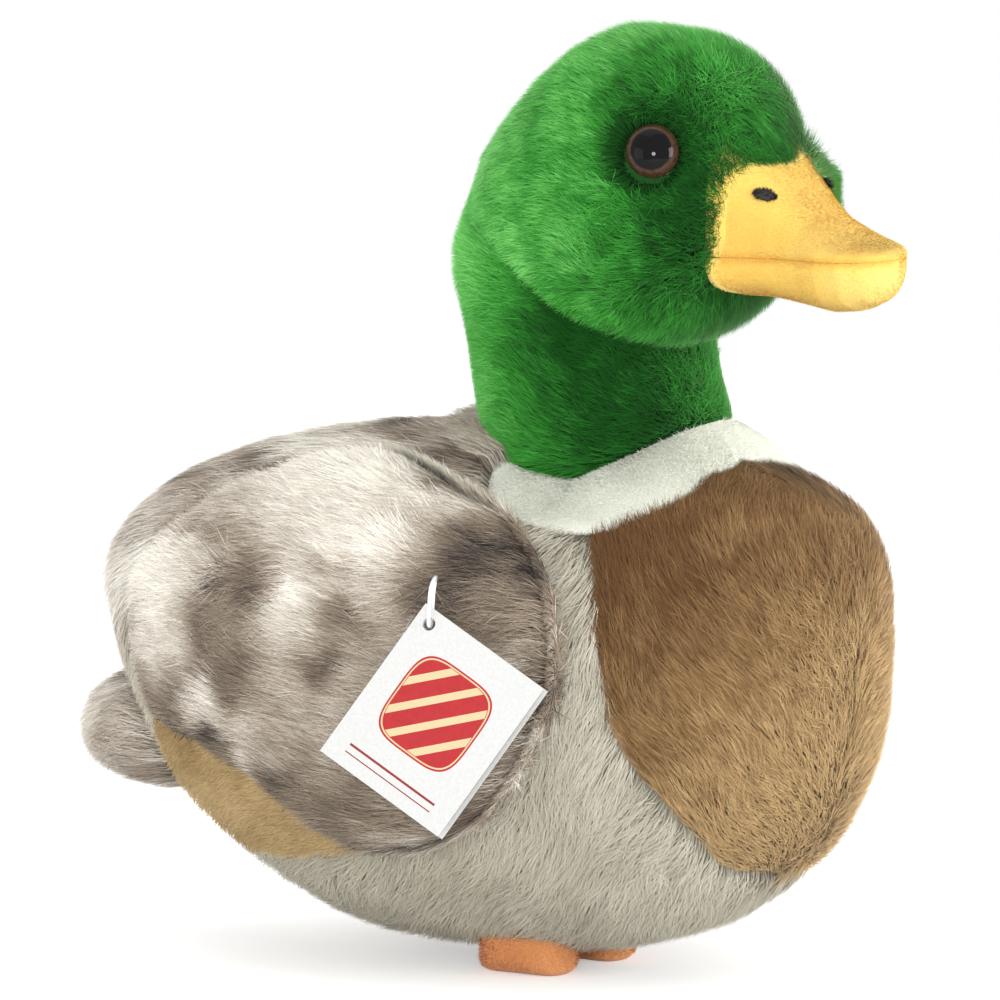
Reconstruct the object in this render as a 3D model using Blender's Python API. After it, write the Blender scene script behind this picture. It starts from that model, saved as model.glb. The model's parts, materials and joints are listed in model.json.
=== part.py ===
"""A plush duck with a folded swing tag, in metres, +Z up.

The duck faces -Y and stands on the soles of its feet at z = 0. Its right side is -X. Shapes are
worked out with the plane of symmetry at x = 0. Then add_object and pivot move them by MIDDLE, which
puts the middle of the whole box, swing tag and all, over the origin.

The body, the head, the tail and the feet are superballs: balls whose half sizes and powers differ
to the front, the rear, above and below. A point p lies on one where its gauge is 1:

    side  = (|y / half_y| ** n + |z / half_z| ** n) ** (1 / n)
    gauge = (side ** m + |x / half_x| ** m) ** (1 / m)

The plush covers are shells as thick as the pile and its backing, cut into the panels that are
sewn together, and the filling is the solid inside them.
"""

import math

import bmesh
import bpy
import numpy as np

MIDDLE_X = 0.0085
MIDDLE_Y = 0.002

# Clearances.
SEAM_GAP = 0.0004
LAYER_GAP = 0.0006
CUT_OVERRUN = 0.004

# Body: half sizes of the outside of the pile, and where its centre is.
BODY_HALF_WIDTH = 0.062
BODY_FRONT = 0.114
BODY_REAR = 0.096
BODY_UP = 0.041
BODY_DOWN = 0.085
BODY_Y = 0.007
BODY_LIFT = 0.004
BODY_POWERS = (2.95, 1.85, 2.7, 1.85, 2.0)
BODY_COVER = 0.005

# Neck: a bent tube that rises from the collar into the head. Its foot's centre is given from the
# body's centre and top, and the rest of its centre line from the foot, rearward and up.
NECK_RADIUS = 0.0305
NECK_COVER = 0.005
NECK_AHEAD = 0.0422
NECK_DROP = 0.003
NECK_BEND_OFFSET = (0.0182, 0.054)
NECK_END_OFFSET = (0.0032, 0.085)
NECK_RADIUS_SHARES = (
    (0.0, 0.985), (0.2, 0.975), (0.45, 0.985), (0.6, 0.925), (0.75, 0.81), (0.88, 0.62), (1.0, 0.34),
)

# Collar: a white band that lies on the shoulders round the foot of the neck and stands off the breast
# in front. Its edge is given in degrees: the turn from the front, and the angle at the body's centre
# from the line to the foot of the neck.
COLLAR_SAG = 0.005
COLLAR_SAG_SHARE = 0.3
COLLAR_DROP = 0.0125
COLLAR_THICKNESS = 0.0018
COLLAR_EDGE = 0.0011
COLLAR_STAND_OFF = 0.0035
COLLAR_BULGE = 0.0005
COLLAR_LEAST_DEG = 2.5
COLLAR_EDGE_DEG = (
    (0.0, 14.8), (30.0, 17.6), (48.0, 27.0), (57.0, 33.6), (60.0, 36.0), (68.0, 39.6), (79.0, 42.0),
    (88.0, 41.5), (100.0, 41.0), (120.0, 40.0), (180.0, 38.0),
)
COLLAR_HIGHEST_SHARE = 0.6

# Head.
HEAD_HALF_WIDTH = 0.0375
HEAD_HALF_LENGTH = 0.0415
HEAD_UP = 0.0457
HEAD_DOWN = 0.0335
HEAD_OFFSET = (-0.0075, 0.059)
HEAD_POWERS = (2.9, 1.6, 2.0, 2.0, 2.1)
HEAD_COVER = 0.005
HEAD_BORE_RADIUS = 0.016

# Bill: an upper and a lower half that meet at the mouth line.
BILL_LENGTH = 0.0407
BILL_INSET = 0.0097
BILL_HALF_WIDTH = 0.016
BILL_RISE = 0.03
BILL_DEPTH = 0.0135
BILL_MOUTH_DROP = 0.0063
# Shares of the length, the half width, the rise and the depth from the root to the tip, and the
# power of the upper half's section: the lower it is, the squarer the section.
BILL_SHARES = (
    (0.0, 1.39, 1.0, 0.82, 0.5),
    (0.12, 1.25, 0.86, 0.8, 0.52),
    (0.25, 1.09, 0.67, 0.8, 0.56),
    (0.38, 0.975, 0.46, 0.86, 0.62),
    (0.5, 0.94, 0.31, 0.92, 0.7),
    (0.65, 0.97, 0.19, 0.99, 0.75),
    (0.78, 0.88, 0.13, 0.95, 0.8),
    (0.89, 0.68, 0.105, 0.8, 0.8),
    (0.96, 0.44, 0.09, 0.6, 0.8),
    (1.0, 0.15, 0.06, 0.4, 0.8),
)
BILL_LOWER_POWER = 0.8
BILL_POCKET_ROWS = 5
NOSTRIL_LENGTH = 0.0048
NOSTRIL_HEIGHT = 0.0029
NOSTRIL_THICKNESS = 0.0014
NOSTRIL_ALONG_SHARE = 0.29
NOSTRIL_AROUND_DEG = 45.0

# Eyes: a dome with a shank through the cover, held by a washer inside.
EYE_RADIUS = 0.0065
EYE_DOME = 0.0055
EYE_EDGE = 0.0008
EYE_SINK = 0.0032
EYE_FIT = 0.0005
# The eye's direction from the head's centre, in shares of the head's half sizes.
EYE_SHARES = (-0.805, -0.528, 0.438)
SHANK_RADIUS = 0.0018
SHANK_LENGTH = 0.0095
WASHER_RADIUS = 0.006
WASHER_THICKNESS = 0.0014
WASHER_DROP = 0.001

# Body seams. Angles are measured at the body's centre, from the line to the foot of the neck.
NECK_HOLE_CLEARANCE = 0.0015
BREAST_BOTTOM_DEG = 75.0
BACK_BOTTOM_DEG = 158.0
BREAST_SEAM_DEG = (
    (0.0, 66.0), (30.0, 64.0), (39.0, 60.5), (48.0, 51.5), (56.0, 44.5), (62.0, 38.0), (67.0, 31.5),
    (70.0, 25.5), (72.5, 17.5), (75.0, 11.0), (180.0, 11.0),
)
BACK_SEAM_DEG = (
    (0.0, 98.0), (30.0, 100.0), (48.0, 104.0), (63.0, 116.0), (90.0, 124.0), (115.0, 130.0), (135.0, 140.0),
    (158.0, 150.0), (180.0, 150.0),
)

# Wings: layered pads on the body's sides. Each edge is given in degrees: a bearing in the side view,
# from the rear by way of the top, and the angle away from straight out to the side.
WING_LINING = 0.002
WING_WADDING = 0.0032
WING_COVER = 0.004
WING_EDGE = 0.0018
WING_COVER_EDGE_DEG = (
    (0.0, 46.0), (14.0, 46.0), (30.0, 44.0), (50.0, 42.0), (70.0, 42.0), (90.0, 43.0), (118.0, 41.0),
    (137.0, 42.0), (147.0, 45.0), (160.0, 46.5), (190.0, 47.0), (210.0, 46.0), (246.0, 46.5), (264.0, 45.5),
    (279.0, 39.7), (291.0, 37.5), (300.0, 36.0), (320.0, 40.5), (332.0, 48.0), (345.0, 48.0), (360.0, 46.0),
)
# How far the lining reaches past the cover's edge, in degrees by bearing: it shows low at the rear.
WING_HEM_DEG = (
    (0.0, 1.6), (262.0, 1.6), (277.0, 9.0), (287.0, 14.5), (300.0, 22.5), (310.0, 21.0), (322.0, 18.5),
    (330.0, 10.0), (342.0, 2.0), (360.0, 1.6),
)
WING_HINGE_INSET = 0.033
WING_HINGE_OUT = 0.0045

# Tail.
TAIL_HALF_WIDTH = 0.026
TAIL_HALF_LENGTH = 0.0285
TAIL_HALF_HEIGHT = 0.014
TAIL_INSET = 0.0205
TAIL_DROP = 0.0383
TAIL_POWERS = (2.3, 2.3, 2.3, 2.3, 2.3)
TAIL_COVER = 0.0045

# Feet.
FOOT_HALF_WIDTH = 0.0092
FOOT_HALF_LENGTH = 0.0118
FOOT_HALF_HEIGHT = 0.0065
FOOT_SPREAD = 0.013
FOOT_AHEAD = 0.0255
FOOT_POWERS = (7.0, 7.0, 7.0, 7.0, 2.6)
FOOT_FLAT = 0.0005

# Swing tag: a folded card on a plastic loop, against the right wing.
CARD_LENGTH = 0.0435
CARD_WIDTH = 0.037
CARD_THICKNESS = 0.0005
CARD_FOLD_GAP = 0.0004
CARD_OPEN_DEG = 5.0
CARD_HOLE_RADIUS = 0.0016
CARD_HOLE_FROM_END = 0.0036
CARD_HOLE_FROM_FOLD = 0.0038
CARD_OFF_WING = 0.0025
CARD_AZIMUTH_DEG = 70.0
CARD_TILT_DEG = 16.0
CARD_SWUNG_DEG = 6.0
CARD_AHEAD = 0.0368
CARD_RISE = 0.0045
LOOP_RADIUS = 0.00045
LOOP_LENGTH = 0.0125
LOOP_FRONT = 0.0026
LOOP_BACK = 0.0012
LOOP_POINTS = 24
LOOP_SQUARE_POWER = 0.5
LOOP_STRAIGHT_SHARE = 0.5

# How finely the shapes are faceted.
NECK_ROWS = 9
BODY_ROWS = (6, 7, 2)
BODY_COLUMNS = (5, 6, 5)
HEAD_ROWS = 12
HEAD_COLUMNS = 24
TAIL_ROWS = 10
TAIL_COLUMNS = 18
FOOT_ROWS = 12
FOOT_COLUMNS = 16
BILL_SIDES = 8
ROUND_SIDES = 20
CARD_HOLE_SIDES = 16
SLOPE_STEP = 0.02
WING_RINGS = 6
WING_HEM_SHARES = (0.5, 1.0)
WING_SPOKES = 28

BODY_CENTRE = np.array([0.0, BODY_Y, BODY_LIFT + BODY_DOWN])
NECK_ROOT = BODY_CENTRE + np.array([0.0, -NECK_AHEAD, BODY_UP - NECK_DROP])
HEAD_CENTRE = NECK_ROOT + np.array([0.0, *HEAD_OFFSET])
BILL_ROOT_Y = HEAD_CENTRE[1] - HEAD_HALF_LENGTH + BILL_INSET
BILL_MOUTH_Z = HEAD_CENTRE[2] - BILL_MOUTH_DROP
BODY_HALVES = (BODY_HALF_WIDTH, BODY_FRONT, BODY_REAR, BODY_UP, BODY_DOWN)
HEAD_HALVES = (HEAD_HALF_WIDTH, HEAD_HALF_LENGTH, HEAD_HALF_LENGTH, HEAD_UP, HEAD_DOWN)
TAIL_HALVES = (TAIL_HALF_WIDTH, TAIL_HALF_LENGTH, TAIL_HALF_LENGTH, TAIL_HALF_HEIGHT, TAIL_HALF_HEIGHT)
FOOT_HALVES = (FOOT_HALF_WIDTH, FOOT_HALF_LENGTH, FOOT_HALF_LENGTH, FOOT_HALF_HEIGHT, FOOT_HALF_HEIGHT)
UP = np.array([0.0, 0.0, 1.0])
RIGHT = np.array([-1.0, 0.0, 0.0])
REARWARD = np.array([0.0, 1.0, 0.0])
MIRROR = np.array([-1.0, 1.0, 1.0])
MIDDLE = np.array([MIDDLE_X, MIDDLE_Y, 0.0])


def clear_scene():
    for obj in list(bpy.data.objects):
        bpy.data.objects.remove(obj, do_unlink=True)


def plush(name, colour, roughness=0.9):
    """A Principled material; colour is linear red, green and blue."""
    made = bpy.data.materials.new(name)
    made.use_nodes = True
    shader = made.node_tree.nodes["Principled BSDF"]
    shader.inputs["Base Color"].default_value = (*colour, 1.0)
    shader.inputs["Roughness"].default_value = roughness
    shader.inputs["Metallic"].default_value = 0.0
    return made


def unit(vector):
    vector = np.asarray(vector, float)
    return vector / np.linalg.norm(vector, axis=-1, keepdims=True)


def radius_along(directions, halves, powers):
    """How far a superball's surface lies from its centre along each unit direction."""
    half_x, front, rear, above, below = halves
    front_up, rear_up, front_down, rear_down, power_x = powers
    x, y, z = np.moveaxis(np.asarray(directions, float), -1, 0)
    forward = y < 0
    upward = z > 0
    along = np.abs(y) / np.where(forward, front, rear)
    height = np.abs(z) / np.where(upward, above, below)
    power = np.where(upward, np.where(forward, front_up, rear_up), np.where(forward, front_down, rear_down))
    side = (along**power + height**power) ** (1 / power)
    return 1 / (side**power_x + (np.abs(x) / half_x) ** power_x) ** (1 / power_x)


def on_ball(centre, directions, halves, powers, grow):
    """The surface points along the directions, moved out by grow."""
    reach = radius_along(directions, halves, powers) + grow
    return centre + directions * reach[..., None]


def on_body(directions, grow):
    return on_ball(BODY_CENTRE, directions, BODY_HALVES, BODY_POWERS, grow)


def grid_faces(rows, columns, around):
    """Quads of a grid of points, row by row; around joins the last column to the first."""
    faces = []
    for i in range(rows - 1):
        for j in range(columns if around else columns - 1):
            k = (j + 1) % columns
            faces.append((i * columns + j, i * columns + k, (i + 1) * columns + k, (i + 1) * columns + j))
    return faces


def add_object(name, points, faces, material, smooth_deg=50.0):
    """A closed mesh as an object. Faces are turned outwards, and only sharp corners keep their edge."""
    mesh = bpy.data.meshes.new(name)
    mesh.from_pydata([tuple(point + MIDDLE) for point in points], [], [tuple(face) for face in faces])
    shape = bmesh.new()
    shape.from_mesh(mesh)
    # Layers that lie on each other split their quads along the same diagonals.
    bmesh.ops.triangulate(shape, faces=shape.faces, quad_method="FIXED")
    bmesh.ops.recalc_face_normals(shape, faces=shape.faces)
    shape.to_mesh(mesh)
    shape.free()
    mesh.shade_smooth()
    mesh.set_sharp_from_angle(angle=math.radians(smooth_deg))
    if material:
        mesh.materials.append(material)
    made = bpy.data.objects.new(name, mesh)
    bpy.context.scene.collection.objects.link(made)
    return made


def add_cutter(name, points, faces):
    made = add_object(name, points, faces, None)
    made.hide_render = True
    made.display_type = "WIRE"
    return made


def combine(target, other, operation="DIFFERENCE"):
    """A live Boolean on the target."""
    step = target.modifiers.new(f"{operation.lower()}_{other.name}", "BOOLEAN")
    step.operation = operation
    step.object = other
    step.solver = "EXACT"
    return step


def ball_mesh(centre, halves, powers, grow, rows, columns, axis=UP, front=-UP):
    """Points and faces of a closed superball whose poles lie on the axis."""
    axis = unit(axis)
    side = unit(np.cross(front, axis)) if abs(np.dot(front, axis)) < 1 else RIGHT
    ahead = np.cross(axis, side)
    tilt = np.linspace(0, math.pi, rows + 1)[1:-1]
    turn = np.linspace(0, 2 * math.pi, columns, endpoint=False)
    tilt, turn = np.meshgrid(tilt, turn, indexing="ij")
    around = np.cos(turn)[..., None] * ahead + np.sin(turn)[..., None] * side
    directions = np.cos(tilt)[..., None] * axis + np.sin(tilt)[..., None] * around
    directions = np.concatenate([directions.reshape(-1, 3), [axis, -axis]])
    points = on_ball(centre, directions, halves, powers, grow)
    faces = grid_faces(rows - 1, columns, True)
    top = len(points) - 2
    last = (rows - 2) * columns
    for j in range(columns):
        k = (j + 1) % columns
        faces.append((k, j, top))
        faces.append((last + j, last + k, top + 1))
    return points, faces


def turned_over(face):
    """The face seen from its other side, starting at the same corner."""
    return (face[0], *reversed(face[1:]))


def skin(outer, inner, faces):
    """Closed solid between two copies of a sheet: both sheets, and a rim along the open edges."""
    used = sorted({corner for face in faces for corner in face})
    place = {corner: i for i, corner in enumerate(used)}
    faces = [tuple(place[corner] for corner in face) for face in faces]
    count = len(used)
    edges = {(face[i], face[(i + 1) % len(face)]) for face in faces for i in range(len(face))}
    rim = [(b, a, a + count, b + count) for a, b in edges if (b, a) not in edges]
    under = [tuple(corner + count for corner in turned_over(face)) for face in faces]
    points = np.concatenate([outer.reshape(-1, 3)[used], inner.reshape(-1, 3)[used]])
    return points, faces + under + sorted(rim)


def mirrored(points, faces):
    return points * MIRROR, [turned_over(face) for face in faces]


# Neck: centre line, sections and axis.


def neck_centre(share):
    """A point of the neck's centre line and its direction there; share runs from the foot to the end."""
    share = np.asarray(share, float)[..., None]
    bend, end = (np.array([0.0, *place]) for place in (NECK_BEND_OFFSET, NECK_END_OFFSET))
    rest = 1 - share
    point = NECK_ROOT + 2 * share * rest * bend + share**2 * end
    return point, unit(rest * bend + share * (end - bend))


def neck_tube(shares, grow):
    """Rings of points round the neck's centre line."""
    centre, along = neck_centre(shares)
    across = np.cross(along, RIGHT)
    known, radius_shares = np.array(NECK_RADIUS_SHARES).T
    radius = NECK_RADIUS * np.interp(shares, known, radius_shares) + grow
    turn = np.linspace(0, 2 * math.pi, HEAD_COLUMNS, endpoint=False)[:, None]
    ring = np.cos(turn) * RIGHT + np.sin(turn) * across[:, None, :]
    sag = COLLAR_SAG * np.clip(1 - shares / COLLAR_SAG_SHARE, 0, 1)
    lowered = sag[:, None, None] * np.cos(turn) ** 2 * NECK_AXIS
    return centre[:, None, :] + radius[:, None, None] * ring - lowered


def neck_solid(grow, low_extra):
    """Points and faces of the closed neck, carried low_extra below its foot."""
    shares = np.linspace(0, 1, NECK_ROWS)
    rings = neck_tube(shares, grow)
    down = -NECK_AXIS * low_extra
    if low_extra:
        rings = np.concatenate([rings[:1] + down, rings])
    rows = len(rings)
    faces = grid_faces(rows, HEAD_COLUMNS, True)
    faces.append(tuple(range(HEAD_COLUMNS)))
    faces.append(tuple((rows - 1) * HEAD_COLUMNS + j for j in range(HEAD_COLUMNS)))
    return rings.reshape(-1, 3), faces


NECK_AXIS = neck_centre(0.0)[1]
BODY_POLE = unit(NECK_ROOT - BODY_CENTRE)
BODY_AHEAD = unit(np.cross(RIGHT, BODY_POLE))
if BODY_AHEAD[1] > 0:
    BODY_AHEAD = -BODY_AHEAD


# Body: one grid of directions, whose lines follow the seams.


def body_direction(tilt, turn):
    """Unit direction at an angle from the pole, and a turn from the front towards the right side."""
    around = np.cos(turn)[..., None] * BODY_AHEAD + np.sin(turn)[..., None] * RIGHT
    return np.cos(tilt)[..., None] * BODY_POLE + np.sin(tilt)[..., None] * around


def hole_tilt(turn):
    """The angle from the pole at which both faces of the cover clear the neck's filling."""
    radius = NECK_RADIUS * NECK_RADIUS_SHARES[0][1] - NECK_COVER + NECK_HOLE_CLEARANCE
    low = np.zeros_like(turn)
    high = np.full_like(turn, math.pi / 2)
    for _ in range(40):
        middle = (low + high) / 2
        outside = np.ones(turn.shape, bool)
        for grow in (0, -BODY_COVER):
            offset = on_body(body_direction(middle, turn), grow) - NECK_ROOT
            offset = offset - (offset @ NECK_AXIS)[..., None] * NECK_AXIS
            outside &= np.linalg.norm(offset, axis=-1) > radius
        high = np.where(outside, middle, high)
        low = np.where(outside, low, middle)
    return high


def body_angles():
    """Tilt and turn of every point of the body's grid, from the hole to the bottom, all the way round."""
    upper, middle, lower = BODY_ROWS
    breast, side, back = BODY_COLUMNS
    breast_bottom, back_bottom = math.radians(BREAST_BOTTOM_DEG), math.radians(BACK_BOTTOM_DEG)
    # Shares of the way from the hole to the breast's bottom, and angles after that.
    rows = [(share, None) for share in np.linspace(0, 1, upper + 1)]
    rows += [(None, tilt) for tilt in np.linspace(breast_bottom, back_bottom, middle + 1)[1:]]
    rows += [(None, tilt) for tilt in np.linspace(back_bottom, math.pi, lower + 1)[1:-1]]
    tilts, turns = [], []
    for share, tilt in rows:
        middle_tilt = tilt
        if tilt is None:
            start = float(hole_tilt(np.array(math.pi / 2)))
            middle_tilt = start + share * (breast_bottom - start)
        front_seam = math.radians(np.interp(math.degrees(middle_tilt), *np.array(BREAST_SEAM_DEG).T))
        back_seam = math.radians(np.interp(math.degrees(middle_tilt), *np.array(BACK_SEAM_DEG).T))
        half = np.concatenate([
            np.linspace(0, front_seam, breast + 1)[:-1],
            np.linspace(front_seam, back_seam, side + 1)[:-1],
            np.linspace(back_seam, math.pi, back + 1),
        ])
        turn = np.concatenate([half, 2 * math.pi - half[-2:0:-1]])
        if tilt is None:
            start = hole_tilt(turn)
            turns.append(turn)
            tilts.append(start + share * (breast_bottom - start))
        else:
            turns.append(turn)
            tilts.append(np.full_like(turn, tilt))
    return np.array(tilts), np.array(turns)


BODY_TILT, BODY_TURN = body_angles()


def body_panel(name, keep, material, flat=None):
    """A plush panel: the faces of the body's grid that keep names by row and column, as a shell.

    The panel's edges draw back by half a seam from the lines that it shares with its neighbours.
    """
    rows, columns = BODY_TILT.shape
    bottom = rows * columns
    faces = []
    for i in range(rows):
        for j in range(columns):
            k = (j + 1) % columns
            if not keep(i, j):
                continue
            if i == rows - 1:
                faces.append((i * columns + j, i * columns + k, bottom))
            else:
                faces.append((i * columns + j, i * columns + k, (i + 1) * columns + k, (i + 1) * columns + j))
    tilt, turn = BODY_TILT.copy(), BODY_TURN.copy()
    reach = radius_along(body_direction(tilt, turn), BODY_HALVES, BODY_POWERS)
    half_gap = SEAM_GAP / 2
    for i in range(rows):
        for j in range(columns):
            beside = [bool(keep(a, b % columns)) for a, b in ((i - 1, j - 1), (i - 1, j), (i, j - 1), (i, j))]
            if i == 0:
                beside[0], beside[1] = beside[2], beside[3]
            if all(beside) or not any(beside):
                continue
            before, after = beside[0] + beside[2], beside[1] + beside[3]
            above, below = beside[0] + beside[1], beside[2] + beside[3]
            turn[i, j] += np.sign(after - before) * half_gap / (reach[i, j] * math.sin(tilt[i, j]))
            tilt[i, j] += np.sign(below - above) * half_gap / reach[i, j]
    directions = np.concatenate([body_direction(tilt, turn).reshape(-1, 3), [-BODY_POLE]])
    outer = on_body(directions, 0)
    inner = on_body(directions, -BODY_COVER)
    points, faces = skin(outer, inner, faces)
    return add_object(name, points, faces, material)


def breast_column(j):
    return j < BODY_COLUMNS[0] or j >= BODY_TILT.shape[1] - BODY_COLUMNS[0]


def back_column(j):
    half = sum(BODY_COLUMNS)
    return half - BODY_COLUMNS[2] <= j < half + BODY_COLUMNS[2]


def in_breast(i, j):
    return 0 <= i < BODY_ROWS[0] and breast_column(j)


def in_back(i, j):
    return 0 <= i < BODY_ROWS[0] + BODY_ROWS[1] and back_column(j)


def body_ball(grow):
    """The body's whole form as a closed ball, grown or shrunk."""
    tilt = np.concatenate([BODY_TILT[:1] / 2, BODY_TILT])
    turn = np.concatenate([BODY_TURN[:1], BODY_TURN])
    rows, columns = tilt.shape
    directions = np.concatenate([body_direction(tilt, turn).reshape(-1, 3), [BODY_POLE, -BODY_POLE]])
    faces = grid_faces(rows, columns, True)
    top = rows * columns
    last = (rows - 1) * columns
    for j in range(columns):
        k = (j + 1) % columns
        faces.append((k, j, top))
        faces.append((last + j, last + k, top + 1))
    return on_body(directions, grow), faces


def make_body(colours):
    add_object("body_stuffing", *body_ball(-BODY_COVER - LAYER_GAP), colours["stuffing"])
    half = BODY_COLUMNS[0]
    body_panel("breast_right", lambda i, j: in_breast(i, j) and j < half, colours["breast"])
    body_panel("breast_left", lambda i, j: in_breast(i, j) and j >= half, colours["breast"])
    body_panel("back", in_back, colours["mottled"])
    body_panel("belly", lambda i, j: i >= 0 and not in_breast(i, j) and not in_back(i, j), colours["belly"])


def lathe(profile, columns, base, axis):
    """Points and faces of a profile turned round an axis through base.

    The profile is a list of (radius, height), and it starts and ends at radius zero.
    """
    axis = unit(axis)
    side = unit(np.cross(axis, UP if abs(axis[2]) < abs(axis[0]) + abs(axis[1]) else RIGHT))
    ahead = np.cross(axis, side)
    turn = np.linspace(0, 2 * math.pi, columns, endpoint=False)[:, None]
    ring = np.cos(turn) * side + np.sin(turn) * ahead
    inner = [base + height * axis + radius * ring for radius, height in profile[1:-1]]
    ends = [base + profile[0][1] * axis, base + profile[-1][1] * axis]
    points = np.concatenate([*inner, ends])
    faces = grid_faces(len(inner), columns, True)
    first = len(inner) * columns
    last = (len(inner) - 1) * columns
    for j in range(columns):
        k = (j + 1) % columns
        faces.append((k, j, first))
        faces.append((last + j, last + k, first + 1))
    return points, faces


def tube(rings, name, material):
    """A ring-shaped solid: one closed ring of points for each corner of its section, in order."""
    count, columns = len(rings), len(rings[0])
    points = np.concatenate(rings)
    faces = []
    for i in range(count):
        for j in range(columns):
            k, n = (j + 1) % columns, (i + 1) % count
            faces.append((i * columns + j, i * columns + k, n * columns + k, n * columns + j))
    return add_object(name, points, faces, material)


def place_on_body(points):
    """The angle from the pole, the turn, and the height over the body's surface of each point."""
    arm = points - BODY_CENTRE
    reach = np.linalg.norm(arm, axis=-1)
    direction = arm / reach[..., None]
    tilt = np.arccos(direction @ BODY_POLE)
    turn = np.arctan2(direction @ RIGHT, direction @ BODY_AHEAD)
    return tilt, turn, reach - radius_along(direction, BODY_HALVES, BODY_POWERS)


def collar_rings():
    """The collar's section: along its top from the neck to its edge, and back inside the body."""
    column = np.arange(HEAD_COLUMNS)
    low, high = np.zeros(HEAD_COLUMNS), np.full(HEAD_COLUMNS, COLLAR_HIGHEST_SHARE)
    # How far up the neck each column starts, so that it lies over the body there.
    for _ in range(40):
        middle = (low + high) / 2
        over = place_on_body(neck_tube(middle, SEAM_GAP)[column, column])[2] > COLLAR_THICKNESS
        high = np.where(over, middle, high)
        low = np.where(over, low, middle)
    top = neck_tube(high, SEAM_GAP)[column, column]
    tilt, turn, height = place_on_body(top)
    edge = np.radians(np.interp(np.degrees(np.abs(turn)), *np.array(COLLAR_EDGE_DEG).T))
    edge = np.maximum(edge, tilt + math.radians(COLLAR_LEAST_DEG))
    edge_height = COLLAR_EDGE + COLLAR_STAND_OFF * np.clip(np.cos(turn), 0, 1) ** 2
    middle_height = (height + edge_height) / 2 + COLLAR_BULGE
    down = COLLAR_DROP * NECK_AXIS
    step = SEAM_GAP * NECK_AXIS
    return [
        top,
        on_body(body_direction((tilt + edge) / 2, turn), middle_height),
        on_body(body_direction(edge, turn), edge_height),
        on_body(body_direction(edge, turn), -COLLAR_THICKNESS),
        neck_tube(np.zeros(1), -NECK_COVER)[0] - down,
        neck_tube(np.zeros(1), -NECK_COVER)[0] - step,
        neck_tube(np.zeros(1), SEAM_GAP)[0] - step,
    ]


def make_neck_and_collar(colours, body_cutter, head_cutter):
    """The neck's tube of plush, and the collar under it, both cut where the body and the head go."""
    shares = np.linspace(0, 1, NECK_ROWS)[: NECK_ROWS - 1]
    outer = neck_tube(shares, 0)
    inner = neck_tube(shares, -NECK_COVER)
    faces = grid_faces(len(shares), HEAD_COLUMNS, True)
    neck = add_object("neck", *skin(outer, inner, faces), colours["head"])
    combine(neck, body_cutter)
    combine(neck, head_cutter)
    collar = tube(collar_rings(), "collar", colours["collar"])
    combine(collar, body_cutter)


def bill_section(share):
    """Half width, rise, depth and upper power of the bill at a share of its length."""
    known, width, rise, depth, power = np.array(BILL_SHARES).T
    return (
        BILL_HALF_WIDTH * np.interp(share, known, width),
        BILL_RISE * np.interp(share, known, rise),
        BILL_DEPTH * np.interp(share, known, depth),
        np.interp(share, known, power),
    )


def bill_point(share, angle, upward, grow=0.0):
    """A point on the bill's outside: angle 0 is its right edge and a half turn its left edge."""
    width, rise, depth, power = bill_section(share)
    height = (rise if upward else -depth) + (grow if upward else -grow)
    start = BILL_MOUTH_Z + (SEAM_GAP / 2 if upward else -SEAM_GAP / 2) * (grow == 0)
    power = power if upward else BILL_LOWER_POWER
    across = math.copysign(abs(math.cos(angle)) ** power, math.cos(angle))
    return np.array([
        -(width + grow) * across,
        BILL_ROOT_Y - share * BILL_LENGTH,
        start + height * max(math.sin(angle), 0.0) ** power,
    ])


def bill_half(upward):
    """Points and faces of the upper or the lower half of the bill."""
    angles = np.linspace(0, math.pi, BILL_SIDES + 1)
    rings = np.array([[bill_point(row[0], angle, upward) for angle in angles] for row in BILL_SHARES])
    rows, columns = rings.shape[:2]
    faces = grid_faces(rows, columns, True)
    faces.append(tuple(range(columns)))
    faces.append(tuple((rows - 1) * columns + j for j in range(columns)))
    return rings.reshape(-1, 3), faces


def bill_cutter():
    """Both halves as one closed form, grown by a layer's gap, for the pocket that they sit in."""
    angles = np.linspace(0, math.pi, BILL_SIDES + 1)
    rings = []
    for row in BILL_SHARES[:BILL_POCKET_ROWS]:
        over = [bill_point(row[0], angle, True, LAYER_GAP) for angle in angles]
        under = [bill_point(row[0], angle, False, LAYER_GAP) for angle in angles[::-1]]
        rings.append(over + under[1:-1])
    rings = np.array([rings[0], *rings])
    rings[0, :, 1] += LAYER_GAP
    rows, columns = rings.shape[:2]
    faces = grid_faces(rows, columns, True)
    faces.append(tuple(range(columns)))
    faces.append(tuple((rows - 1) * columns + j for j in range(columns)))
    return add_cutter("cut_bill", rings.reshape(-1, 3), faces)


def make_bill(colours):
    add_object("upper_bill", *bill_half(True), colours["bill"])
    add_object("lower_bill", *bill_half(False), colours["bill"])
    angle = math.radians(NOSTRIL_AROUND_DEG)
    here = bill_point(NOSTRIL_ALONG_SHARE, angle, True)
    along = unit(bill_point(NOSTRIL_ALONG_SHARE + SLOPE_STEP, angle, True) - here)
    around = unit(bill_point(NOSTRIL_ALONG_SHARE, angle + SLOPE_STEP, True) - here)
    out = unit(np.cross(around, along))
    if out @ RIGHT < 0:
        out = -out
    halves = (NOSTRIL_LENGTH / 2, NOSTRIL_HEIGHT / 2, NOSTRIL_THICKNESS / 2)
    points, faces = ball_mesh(np.zeros(3), (1, 1, 1, 1, 1), (2, 2, 2, 2, 2), 0, 6, 12)
    frame = np.array([along, np.cross(out, along), out])
    lift = SEAM_GAP + NOSTRIL_THICKNESS / 2 + NOSTRIL_LENGTH**2 / (8 * BILL_HALF_WIDTH)
    points = here + lift * out + (points * np.array(halves)) @ frame
    add_object("nostril_right", points, faces, colours["thread"])
    add_object("nostril_left", *mirrored(points, faces), colours["thread"])


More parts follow.
